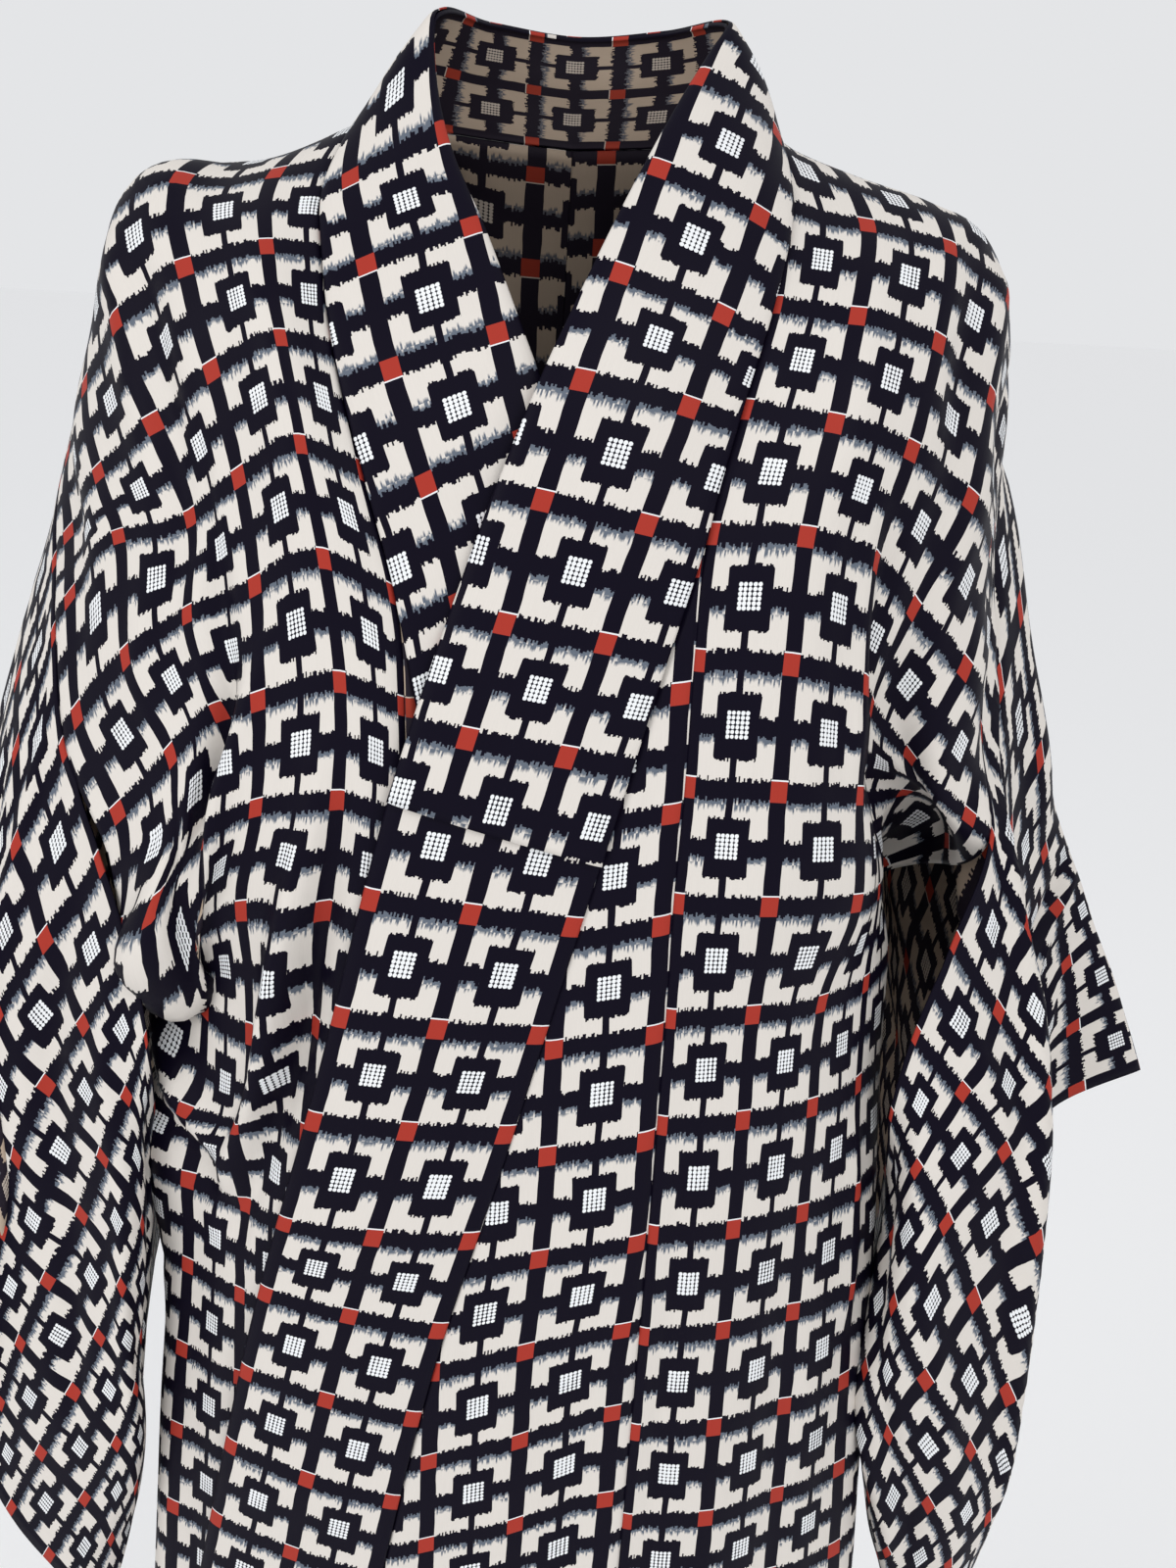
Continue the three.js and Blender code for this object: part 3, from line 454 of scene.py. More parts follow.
@dataclass(frozen=True)
class Sag(Fold):
    """A part of the cloth that hangs aside by its own weight, fullest on the path.

    Args:
        move: How far it hangs aside, as x, y and z for a rise of 1.
    """

    move: tuple[float, float, float] = (0.0, 0.0, 0.0)

    def shift(self, w: Array, h: Array) -> Array:
        """How far each point of the cloth hangs aside."""
        return self.lift(w, h)[..., None] * np.asarray(self.move)


def relief(folds: Sequence[Fold], w: Array, h: Array) -> Array:
    """Sum of the folds over the cloth."""
    return sum((one.lift(w, h) for one in folds), np.zeros(w.shape))


def hung(sags: Sequence[Sag], w: Array, h: Array) -> Array:
    """Sum of the sags over the cloth."""
    return sum((one.shift(w, h) for one in sags), np.zeros((*w.shape, 3)))


def slack(w: Array, h: Array, size: float, seed: float) -> Array:
    """Gentle unevenness of hung cloth, longer along the warp.

    Args:
        w: Cloth across.
        h: Cloth along, in the shape of w.
        size: Greatest height.
        seed: Any number, which sets where the waves lie.

    Returns:
        The heights, in the same shape.
    """
    broad = np.sin(w / 23 + 1.7 * np.sin(h / 131 + seed))
    broad = broad * np.sin(h / 89 + seed * 2 + 0.8 * np.sin(w / 47))
    narrow = np.sin(w / 11.5 + 2.1 * np.sin(h / 67 + seed * 3)) * np.sin(h / 41 + seed + w / 61)
    return size * (0.75 * broad + 0.25 * narrow)


def sewn_edge(distance: Array) -> Array:
    """Dip and soft swelling of the cloth beside a seam."""
    return -0.9 * np.exp(-((distance / 1.8) ** 2)) + 0.5 * np.exp(-(((distance - 6) / 4) ** 2))


# ---- folds placed one by one: corners (w, h), rise, half width, lean ----------------------------
BACK_FOLDS = (
    Fold(((60, -60), (70, -250), (74, -500)), 3.0, 14),
    Fold(((140, -40), (150, -200), (160, -420)), -4.0, 14),
    Fold(((230, -60), (225, -220), (240, -400)), 5.0, 14),
    Fold(((270, -250), (250, -420), (255, -700)), -5.0, 14),
    Fold(((300, -330), (240, -300), (170, -240)), 4.5, 12),
    Fold(((300, -372), (250, -366), (180, -352), (110, -338)), -6.0, 11),
    Fold(((304, -398), (250, -396), (170, -388), (90, -380)), 13.0, 14, 0.2),
    Fold(((304, -430), (240, -430), (160, -424), (80, -420)), -10.0, 11),
    Fold(((300, -462), (250, -468), (190, -470)), 6.0, 12),
    Fold(((40, -500), (45, -900), (40, -1400)), -4.0, 16),
    Fold(((120, -520), (115, -1000), (118, -1450)), 5.0, 18),
    Fold(((200, -600), (205, -1000), (210, -1400)), -5.0, 18),
    Fold(((262, -640), (270, -1000), (265, -1440)), 4.0, 14),
)
LEFT_BODY_FOLDS = (
    Fold(((150, 190), (158, 246), (160, 292), (157, 350)), 5.0, 8, 0.6),
    Fold(((168, 200), (178, 246), (181, 292), (176, 340)), -8.0, 9),
    Fold(((120, 30), (124, 150), (128, 260), (130, 360)), 2.5, 12),
    Fold(((200, 20), (210, 120), (222, 190), (236, 240)), 4.0, 12),
    Fold(((175, 40), (184, 130), (196, 200)), -4.0, 10),
    Fold(((262, 50), (268, 140), (272, 200)), -4.0, 12),
    Fold(((302, 335), (262, 290), (225, 250)), -5.0, 10),
    Fold(((302, 292), (268, 262), (240, 236)), 4.0, 9),
    Fold(((204, 326), (250, 334), (290, 356), (306, 400), (308, 440)), -26.0, 28),
    Fold(((170, 5), (200, 25), (206, 60)), 5.0, 24),
    Fold(((206, 530), (209, 600), (204, 665)), 5.0, 7, 0.5),
    Fold(((78, 470), (80, 700), (82, 1000)), -2.5, 6),
    Fold(((150, 560), (160, 900), (165, 1300)), -5.0, 14),
    Fold(((115, 700), (118, 1000), (112, 1440)), 3.0, 14),
    Fold(((236, 600), (244, 900), (250, 1400)), 5.0, 16),
    Fold(((285, 560), (290, 900), (292, 1440)), -5.0, 14),
    *BACK_FOLDS,
)
RIGHT_BODY_FOLDS = (
    Fold(((158, 280), (180, 320), (196, 345), (199, 377), (203, 402), (222, 430)), 7.0, 9, 0.6),
    Fold(((176, 270), (203, 318), (222, 350), (228, 380), (232, 400)), -11.0, 10),
    Fold(((160, 0), (192, 30), (206, 80)), 11.0, 30),
    Fold(((300, 366), (268, 388), (238, 414), (214, 446)), 20.0, 20),
    Fold(((266, 440), (258, 505), (250, 580), (244, 660)), 18.0, 34),
    Fold(((290, 326), (258, 340), (238, 360), (224, 388)), -9.0, 9),
    Fold(((296, 452), (258, 498), (205, 540), (172, 566)), 9.0, 13, -0.4),
    Fold(((288, 492), (245, 535), (200, 572), (162, 604)), -8.0, 12),
    Fold(((128, 345), (129, 394), (131, 424), (136, 452), (146, 495), (163, 545), (188, 604)),
         12.0, 10, 0.6),
    Fold(((108, 350), (109, 395), (111, 425), (115, 455), (125, 497), (141, 548), (163, 606)),
         -12.0, 10),
    Fold(((165, 20), (172, 110), (190, 200), (205, 290)), 3.0, 12),
    Fold(((200, 40), (215, 130), (238, 230), (262, 300)), 4.0, 12),
    Fold(((185, 60), (196, 150), (218, 240)), -4.0, 10),
    Fold(((178, 150), (190, 205), (186, 256), (194, 300)), -6.0, 8),
    Fold(((140, 90), (150, 180), (158, 260)), -2.5, 14),
    Fold(((290, 60), (292, 150), (296, 230)), -4.0, 10),
    Fold(((100, 620), (96, 900), (92, 1200), (90, 1460)), -4.0, 14),
    Fold(((215, 650), (225, 900), (235, 1200), (238, 1460)), 5.0, 16),
    Fold(((160, 640), (150, 950), (148, 1300)), -5.0, 14),
    Fold(((275, 600), (280, 900), (285, 1400)), -5.0, 15),
    *BACK_FOLDS,
)
RIGHT_BODY_SAGS = (
    Sag(((336, 372), (270, 398), (214, 440)), 1.0, 33, move=(0.0, -10.0, -25.0)),
    Sag(((240, 440), (202, 480), (160, 545)), 1.0, 52, move=(3.0, -3.0, -15.0)),
)
LEFT_SLEEVE_SAGS = (Sag(((340, -20), (340, -100), (340, -200)), 1.0, 60, move=(0.0, 0.0, 30.0)),)
SLEEVE_BACK_FOLDS = (
    Fold(((20, -330), (90, -300), (170, -260), (260, -230)), -5.0, 12),
    Fold(((10, -260), (90, -220), (180, -170), (280, -120)), 5.0, 12),
    Fold(((60, -80), (150, -70), (260, -60)), -4.0, 12),
    Fold(((40, -430), (120, -440), (230, -480)), 5.0, 14),
    Fold(((50, -520), (150, -540), (260, -590)), -5.0, 12),
)
LEFT_SLEEVE_FOLDS = (
    Fold(((4, 130), (20, 185), (22, 240), (44, 276), (76, 292), (94, 338), (142, 385),
          (190, 427), (250, 500)), 10.0, 13, -0.5),
    Fold(((8, 80), (44, 130), (62, 190), (84, 230), (118, 256), (140, 298), (180, 345),
          (230, 400), (290, 470)), -24.0, 17),
    Fold(((4, 0), (60, 20), (110, 35), (140, 40)), 10.0, 32),
    Fold(((10, 420), (80, 470), (160, 500), (230, 560)), 5.0, 14),
    Fold(((5, 470), (70, 520), (150, 560), (220, 610)), -5.0, 13),
    Fold(((5, 350), (50, 368), (108, 382)), 4.0, 10),
    Fold(((30, 560), (110, 590), (200, 616)), 4.0, 11),
    Fold(((187, 16), (200, 60), (206, 100), (200, 150)), 6.0, 8, 0.5),
    Fold(((172, 10), (184, 60), (188, 110), (182, 160)), -7.0, 8),
    Fold(((230, 60), (280, 90), (325, 120)), 4.0, 12),
    *SLEEVE_BACK_FOLDS,
)
RIGHT_SLEEVE_FOLDS = (
    Fold(((6, 225), (60, 262), (110, 300), (170, 340)), 5.0, 13),
    Fold(((6, 300), (60, 345), (120, 400), (190, 450), (260, 500)), -6.0, 12),
    Fold(((10, 360), (70, 420), (140, 480), (230, 560)), 6.0, 13),
    Fold(((20, 470), (90, 530), (160, 590)), -5.0, 11),
    Fold(((60, 180), (120, 220), (190, 270), (270, 320)), -6.0, 13),
    Fold(((160, 330), (230, 380), (310, 420)), 7.0, 14),
    Fold(((190, 290), (260, 330), (325, 360)), -6.0, 12),
    Fold(((30, 20), (110, 30), (220, 40)), -4.0, 12),
    Fold(((40, 90), (130, 110), (240, 130), (320, 150)), 5.0, 12),
    *SLEEVE_BACK_FOLDS,
)
OKUMI_FOLDS = (
    Fold(((22, 600), (30, 900), (28, 1300)), -3.0, 12),
    Fold(((90, 950), (95, 1200), (90, 1450)), 4.0, 16),
    Fold(((60, 640), (66, 800), (58, 900)), 2.0, 12),
)
COLLAR_FOLDS = (
    Fold(((8, 600), (92, 640)), 1.4, 20),
    Fold(((12, 760), (92, 790)), -1.4, 18),
    Fold(((10, 300), (90, 330)), 1.2, 16),
    Fold(((20, 905), (90, 930)), 1.4, 18),
    Fold(((15, -330), (90, -300)), 1.2, 16),
    Fold(((15, -640), (90, -600)), -1.2, 18),
    Fold(((60, -40), (58, 60)), -1.0, 14),
)


# ---- cloth sheets ----------------------------------------------------------------------------
@dataclass
class Grid:
    """A net of points with the cloth repeats that each one carries."""

    points: Array
    repeats: Array
    outward: Array

    @staticmethod
    def over(points: Array, repeats: Array, toward: float) -> "Grid":
        """Makes a net and works out where it faces.

        Args:
            points: Rows by columns of points.
            repeats: The pattern's place at each point.
            toward: 1 or -1, which turns the net's own direction outwards.

        Returns:
            The net.
        """
        down, across = np.gradient(points, axis=0), np.gradient(points, axis=1)
        return Grid(points, repeats, toward * cross_unit(across, down))

    def lifted(self, by: float | Array) -> "Grid":
        """The same net moved out of its surface."""
        rise = np.broadcast_to(np.asarray(by, float), self.points.shape[:2])[..., None]
        return Grid(self.points + self.outward * rise, self.repeats, self.outward)


def mesh_of(name: str, nets: Sequence[Grid]) -> bpy.types.Object:
    """Joins nets into one smooth mesh whose UV map holds the cloth repeats.

    Args:
        name: Name of the piece.
        nets: Nets whose rims may meet.

    Returns:
        The new object, at the origin.
    """
    work = bmesh.new()
    layer = work.loops.layers.uv.new("cloth")
    for net in nets:
        rows, columns = net.points.shape[:2]
        verts = [work.verts.new(p * MM) for p in net.points.reshape(-1, 3)]
        uv = net.repeats.reshape(-1, 2)
        across = net.points[0, 1] - net.points[0, 0]
        down = net.points[1, 0] - net.points[0, 0]
        turned = float(np.dot(np.cross(across, down), net.outward[0, 0])) < 0
        for i in range(rows - 1):
            for j in range(columns - 1):
                first = i * columns + j
                ring = [first, first + 1, first + columns + 1, first + columns]
                ring = ring[::-1] if turned else ring
                face = work.faces.new([verts[k] for k in ring])
                face.smooth = True
                for loop, k in zip(face.loops, ring):
                    loop[layer].uv = uv[k]
    bmesh.ops.remove_doubles(work, verts=work.verts, dist=WELD)
    data = bpy.data.meshes.new(name)
    work.to_mesh(data)
    work.free()
    made = bpy.data.objects.new(name, data)
    bpy.context.collection.objects.link(made)
    return made


@dataclass
class Piece:
    """One cut piece of cloth: its object, what it stands for and how it was cut."""

    name: str
    node: str
    material_slot: str
    flat: tuple[float, float]
    area: float
    thickness: float = CUT.single
    rests_on: tuple[str, ...] = ("shoulders",)

    def dress(self, nets: Sequence[Grid], cloth: "Kasuri") -> bpy.types.Object:
        """Builds the piece as a thin shell and hands it to the frame.

        Args:
            nets: The piece's nets, on its outer face.
            cloth: The finish.

        Returns:
            The finished object.
        """
        made = mesh_of(self.name, nets)
        # The inner face takes the wrong side's colours, which are partly painted shade.
        for face in (cloth.face(), cloth.reverse()):
            made.data.materials.append(face)
        wall = made.modifiers.new("wall", "SOLIDIFY")
        wall.thickness = self.thickness * MM
        wall.offset = -1
        wall.material_offset = 1
        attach(made, "root")
        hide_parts(self.node)
        LOG.info("%s: %d faces", self.name, len(made.data.polygons))
        return made


# ---- how finely the nets are drawn ------------------------------------------------------------
def fine(low: float, high: float, step: float) -> Array:
    """Even steps from low to high, no longer than step."""
    return np.linspace(low, high, max(2, int(math.ceil(abs(high - low) / step)) + 1))


def parts(first: Sequence[float], middle: tuple[float, float, int], last: Sequence[float] = ()) -> Array:
    """Parts of a width, closer together beside its seams than in the middle."""
    return np.concatenate([first, np.linspace(*middle), last])


def band_parts(count: int) -> Array:
    """Parts of the width of a collar layer or an okumi."""
    return parts((0, 0.012, 0.03, 0.06), (0.1, 0.9, count), (0.94, 0.97, 0.99, 1.0))


PANEL_PARTS = parts((0, 0.006, 0.014, 0.026), (0.045, 0.965, 42), (0.98, 0.99, 1.0))
NAPE_PARTS = parts((0, 0.015, 0.035, 0.065), (0.12, 1, 11))
SLEEVE_PARTS = parts((0, 0.006, 0.016, 0.032), (0.055, 0.95, 46), (0.97, 0.985, 1.0))


# ---- body panels -----------------------------------------------------------------------------
@dataclass
class BodyPanel:
    """One length of cloth from the front hem over the shoulder to the back hem."""

    side: Side
    table: list[Row]
    lift: float
    row_knots: tuple[float, ...]
    row_repeats: tuple[float, ...]
    neck_knots: tuple[float, ...]
    neck_widths: tuple[float, ...]
    folds: tuple[Fold, ...] = ()
    sags: tuple[Sag, ...] = ()
    seed: float = 0.0
    first_square: float = 112.0
    let_out: float = 4.5
    fine_to: float = 520.0
    flat_by_seam: float = 12.0

    def __post_init__(self) -> None:
        """Sets up the panel's curves of h."""
        sign = self.side.value
        turned = [self._turned(row, sign) for row in BACK]
        ridge = {**RIDGE[self.side], **self._turned({"h": 0, **NECK_BACK}, sign)}
        front = [*self.table, *self._hanging(True)]
        back = [*self._hanging(False)[::-1], *turned[::-1], ridge]
        rows = [*back, *front]
        self.knots = [row["h"] for row in rows]
        self.curves = np.array([[row[name] for name in FRONT_COLUMNS] for row in rows], float)
        self.back_knots = [row["h"] for row in back]
        self.back_curves = np.array([[row["centre"], row["nape"], row["seam"]] for row in back], float)

    @staticmethod
    def _turned(row: Row, sign: int) -> Row:
        """A back row on one side of the garment, its h below 0."""
        points = {k: (sign * v[0], v[1], v[2]) for k, v in row.items() if k != "h"}
        return {**points, "h": -row["h"]}

    def _around(self, part: Array, front: bool) -> Array:
        """Cloth from the centre front at parts of the panel's width."""
        at_back = CUT.half_round - (CUT.neck_half + (CUT.back_width - CUT.neck_half) * part)
        return CUT.front_seam + CUT.front_width * part if front else at_back

    def _out(self, part: Array, front: bool) -> Array:
        """How far the panel lies out, falling away to the side seam."""
        return self.lift * (1 - np.maximum(0, part - 0.5) ** 2 * 4) if front else 0 * part

    def _hanging(self, front: bool) -> list[Row]:
        """Rows of the tube below the arms.

        Args:
            front: Whether they are the front's, h above 0, or the back's, h below 0.

        Returns:
            The rows, from the arms down.
        """
        rows = []
        sign = self.side.value
        part = np.linspace(0, 1, len(FRONT_COLUMNS))
        for h in (450, 520, 600, 700, 820, 960, 1120, 1290, CUT.length):
            z = float(TUBE.z_of(h))
            points = TUBE.at(sign * self._around(part, front), z, self._out(part, front))
            row = dict(zip(FRONT_COLUMNS, points))
            row["h"] = h if front else -h
            for name, inside in (("centre", 0), ("nape", CUT.neck_half / 2)):
                row[name] = TUBE.at(np.array([sign * (CUT.half_round - inside)]), z)[0]
            rows.append(row)
        return rows

    def wide(self, h: Array, part: Array) -> Array:
        """Points of the panel between its seam (part 0) and the arm (1).

        Args:
            h: Lengths of cloth, a row each.
            part: Parts of the width, a column each.

        Returns:
            Rows by columns of points.
        """
        columns = np.linspace(0, 1, len(FRONT_COLUMNS))
        rows = spline(self.knots, self.curves, h)
        points = spline(columns, rows.swapaxes(0, 1), part).swapaxes(0, 1)
        sign = self.side.value
        for i, one in enumerate(h):
            blend = float(ease(CUT.tube_top, CUT.tube_full, abs(one)))
            if blend > 0:
                front = one > 0
                z = float(TUBE.z_of(abs(one)))
                tube = TUBE.at(sign * self._around(part, front), z, self._out(part, front))
                points[i] = points[i] * (1 - blend) + tube * blend
        return points

    def neck(self, h: Array, part: Array) -> Array:
        """Points of the back between the centre (part 0) and the line of the neck slit (1)."""
        rows = spline(self.back_knots, self.back_curves, h)
        return spline([0, 0.5, 1], rows.swapaxes(0, 1), part).swapaxes(0, 1)

    def seam(self, h: Array) -> Array:
        """Points along the collar and okumi seam."""
        return self.wide(np.atleast_1d(h), np.array([0.0]))[:, 0]

    def arm(self, h: Array) -> Array:
        """Points along the sleeve seam and the side."""
        return self.wide(np.atleast_1d(h), np.array([1.0]))[:, 0]

    def edges(self, h: Array) -> tuple[Array, Array]:
        """Cloth w of the panel's neck side and arm side.

        Args:
            h: Lengths of cloth.

        Returns:
            The two widths, each in the shape of h.
        """
        low = np.interp(h, self.neck_knots, self.neck_widths)
        lowest = np.where(h > 0, CUT.front_seam + CUT.front_width, CUT.back_width)
        narrowed = ease(CUT.sleeve_sewn, CUT.tube_top, np.abs(h))
        return low, CUT.sleeve_line + (lowest - CUT.sleeve_line) * narrowed

    def repeats(self, w: Array, h: Array) -> Array:
        """The pattern's place on the panel, with a little cloth let out at the front seam.

        Args:
            w: Cloth across.
            h: Cloth along, in the shape of w.

        Returns:
            The places, in repeats across and along.
        """
        across = w - self.let_out * np.clip((90 - w) / 24, 0, 1) ** 2 * (h > 0) - self.first_square
        v = np.interp(h, self.row_knots, self.row_repeats)
        return np.stack([across / CUT.repeat_across * self.side.value, v], axis=-1)

    def nets(self) -> list[Grid]:
        """The panel's nets.

        Returns:
            One net of all its length, and one of the back inside the neck slit.
        """
        worn = self.fine_to
        h = np.concatenate([fine(-CUT.length, -worn, 9)[:-1], fine(-worn, 0, 7)[:-1],
                            fine(0, worn, 5)[:-1], fine(worn, CUT.length, 9)])
        sign = self.side.value
        low, high = self.edges(h)
        w = low[:, None] + (high - low)[:, None] * PANEL_PARTS[None, :]
        tall = np.broadcast_to(h[:, None], w.shape)
        points = self.wide(h, PANEL_PARTS) + hung(self.sags, w, tall)
        net = Grid.over(points, self.repeats(w, tall), -sign)
        at_back = h[h <= 0]
        back_w = NAPE_PARTS[None, :] * low[h <= 0][:, None]
        back_h = np.broadcast_to(at_back[:, None], back_w.shape)
        neck = Grid.over(self.neck(at_back, NAPE_PARTS), self.repeats(back_w, back_h), -sign)
        join = len(at_back)
        shared = net.outward[:join, 0] + neck.outward[:, -1]
        shared /= np.linalg.norm(shared, axis=-1, keepdims=True)
        net.outward[:join, 0] = neck.outward[:, -1] = shared
        return [net.lifted(self.rise(w, tall)), neck.lifted(self.rise(back_w, back_h))]

    def rise(self, w: Array, h: Array) -> Array:
        """Folds, unevenness and seams of the panel.

        Args:
            w: Cloth across.
            h: Cloth along, in the shape of w.

        Returns:
            Heights out of the panel's surface, in the same shape.
        """
        low, high = self.edges(h)
        low = low * ease(-60, 0, h)
        tall = np.abs(h)
        under_sleeve = ease(CUT.sleeve_sewn, CUT.sleeve_sewn + EASING, tall)
        free = under_sleeve * (1 - ease(CUT.tube_top - EASING, CUT.tube_top, tall))
        by_neck, by_arm = (np.clip(away / self.flat_by_seam, 0, 1) for away in (w - low, high - w))
        inside = by_neck * np.maximum(by_arm, free)
        loose = relief(self.folds, w, h) + slack(w, h, 1.3, self.seed)
        joined = (tall <= CUT.sleeve_sewn) | (tall >= CUT.tube_top)
        seams = sewn_edge(w - low) * np.where(h > 0, 1.0, w < 60) + sewn_edge(high - w) * joined
        return loose * inside + seams


# ---- collar ----------------------------------------------------------------------------------
@dataclass
class Band:
    """The collar, one band from the right front round the neck to the left front."""

    left: BodyPanel
    right: BodyPanel
    tip_left: float = 220.0
    tip_right: float = 248.0
    swell_left: float = 4.0
    swell_right: float = 2.4
    swell_middle: float = 2.0

    def __post_init__(self) -> None:
        """Sets up the band's curves of u."""
        middle = (0.0, COLLAR_MIDDLE["seam"], COLLAR_MIDDLE["edge"], self.swell_middle)
        right, left = self._half(COLLAR_RIGHT, -1, 0.0), self._half(COLLAR_LEFT, 1, CUT.layer)
        rows = [*right[::-1], middle, *left]
        self.knots = [row[0] for row in rows]
        self.tabled = np.array([[row[1], row[2]] for row in rows], float)
        self.swells = np.array([[row[3]] for row in rows], float)

    def _half(self, rows: list[Row], sign: int, lift: float) -> list[tuple]:
        """One side's rows, laid on the chest where they have no depth.

        Args:
            rows: The side's table.
            sign: 1 for the left side, -1 for the right.
            lift: How far in front of the chest they lie.

        Returns:
            Tuples of u, seam, edge and swelling.
        """
        def laid(p: Sequence[float]) -> tuple[float, float, float]:
            """A tabled point with its depth filled in."""
            on_chest = float(TUBE.chest(np.array([p[0]]), np.array([p[2]]), lift)[0])
            return (p[0], on_chest if p[1] is None else p[1], p[2])

        swell = self.swell_left if sign > 0 else self.swell_right
        return [(sign * (row["along"] + CUT.nape), laid(row["seam"]), laid(row["edge"]), swell)
                for row in rows]

    @property
    def ends(self) -> tuple[float, float]:
        """The band's two lower ends, as u."""
        return -(COLLAR_RIGHT[-1]["along"] + CUT.nape), COLLAR_LEFT[-1]["along"] + CUT.nape

    def seam(self, u: Array) -> Array:
        """Points of the line where the band is sewn on.

        Args:
            u: Lengths along the band from the centre back.

        Returns:
            One point for each length.
        """
        u = np.atleast_1d(u)
        h = np.abs(u) - CUT.nape
        points = spline(self.knots, self.tabled[:, 0], u)
        for sign, panel, tip in ((1, self.left, self.tip_left), (-1, self.right, self.tip_right)):
            ours = (np.sign(u) == sign) | ((u == 0) & (sign > 0))
            on_slit = ours & (h > 0) & (h <= tip)
            if on_slit.any():
                points[on_slit] = panel.seam(h[on_slit])
            at_nape = ours & (h <= 0)
            if at_nape.any():
                share = np.abs(u[at_nape]) / CUT.nape
                order = np.argsort(share)
                line = panel.neck(np.array([0.0]), share[order])[0]
                points[np.flatnonzero(at_nape)[order]] = line
        return points

    def wide(self, u: Array, part: Array) -> Array:
        """Points of the band between its seam (part 0) and free edge (1).

        Args:
            u: Lengths along the band, a row each.
            part: Parts of the width, a column each.

        Returns:
            Rows by columns of points.
        """
        low, high = self.seam(u), spline(self.knots, self.tabled[:, 1], u)
        ahead, behind = (spline(self.knots, self.tabled[:, 0], u + reach) for reach in (2, -2))
        run = ahead - behind
        out = cross_unit(high - low, run)
        swell = spline(self.knots, self.swells, u)
        bulge = (4 * part * (1 - part))[None, :, None] * swell[:, None, :]
        points = low[:, None] + (high - low)[:, None] * part[None, :, None]
        return points + out[:, None] * bulge

    def down_to(self, sign: int, z: Array) -> Array:
        """Where along the band its seam comes down to each z on one front.

        Args:
            sign: 1 for the left front, -1 for the right.
            z: Heights.

        Returns:
            One length along the band for each height.
        """
        u = np.linspace(200, 920, 361) + CUT.nape
        heights = self.seam(sign * u)[:, 2]
        return sign * np.interp(-np.asarray(z), -heights, u)


@dataclass
class BandCover:
    """A layer of the collar: the band itself, or the over-collar laid on it."""

    band: Band
    low: float
    high: float
    lift: float
    repeat_at: Callable[[Array, Array], Array]
    folds: tuple[Fold, ...] = ()
    slant: float = 0.0
    end_rise: float = -0.8
    slant_reach: float = 60.0
    step: float = 4.0

    def nets(self) -> list[Grid]:
        """The layer's net.

        Returns:
            One net, from the right end to the left end.
        """
        u = fine(self.low - self.slant, self.high + self.slant, self.step)
        part = band_parts(15)
        net = Grid.over(self.band.wide(u, part), self.repeat_at(u, part), 1)
        net, u = self._cut(net, u, part)
        w = np.broadcast_to(part[None, :] * 100, net.points.shape[:2])
        along = np.broadcast_to(u[:, None], w.shape)
        round_edge = -1.6 * np.clip((w - 94) / 6, 0, 1) ** 2
        rise = self.lift + relief(self.folds, w, along) + slack(w, along, 0.5, 2.0) + round_edge
        ends = np.minimum(along - self.low, self.high - along)
        end_fold = self.end_rise * np.exp(-((ends / 5) ** 2))
        return [net.lifted(rise + 0.6 * sewn_edge(w) + end_fold)]

    def _cut(self, net: Grid, u: Array, part: Array) -> tuple[Grid, Array]:
        """The net cut to length, its ends on a slant, and the even lengths along it.

        Args:
            net: A net that runs past both ends.
            u: Lengths along the net's rows.
            part: Parts of the width of its columns.

        Returns:
            The cut net and its rows' lengths at the middle of the width.
        """
        rows = fine(self.low, self.high, self.step)
        reach = self.slant_reach
        near_end = np.clip((np.abs(rows) - (self.high - reach)) / reach, 0, 1) ** 2 * np.sign(rows)
        wanted = rows[:, None] + self.slant * near_end[:, None] * (2 * part[None, :] - 1)

        def read(values: Array) -> Array:
            """A net's values at the wanted lengths."""
            found = [[np.interp(at, u, one) for at, one in zip(wanted.T, layer)] for layer in values.T]
            return np.array(found).transpose(2, 1, 0)

        return Grid(read(net.points), read(net.repeats), read(net.outward)), rows


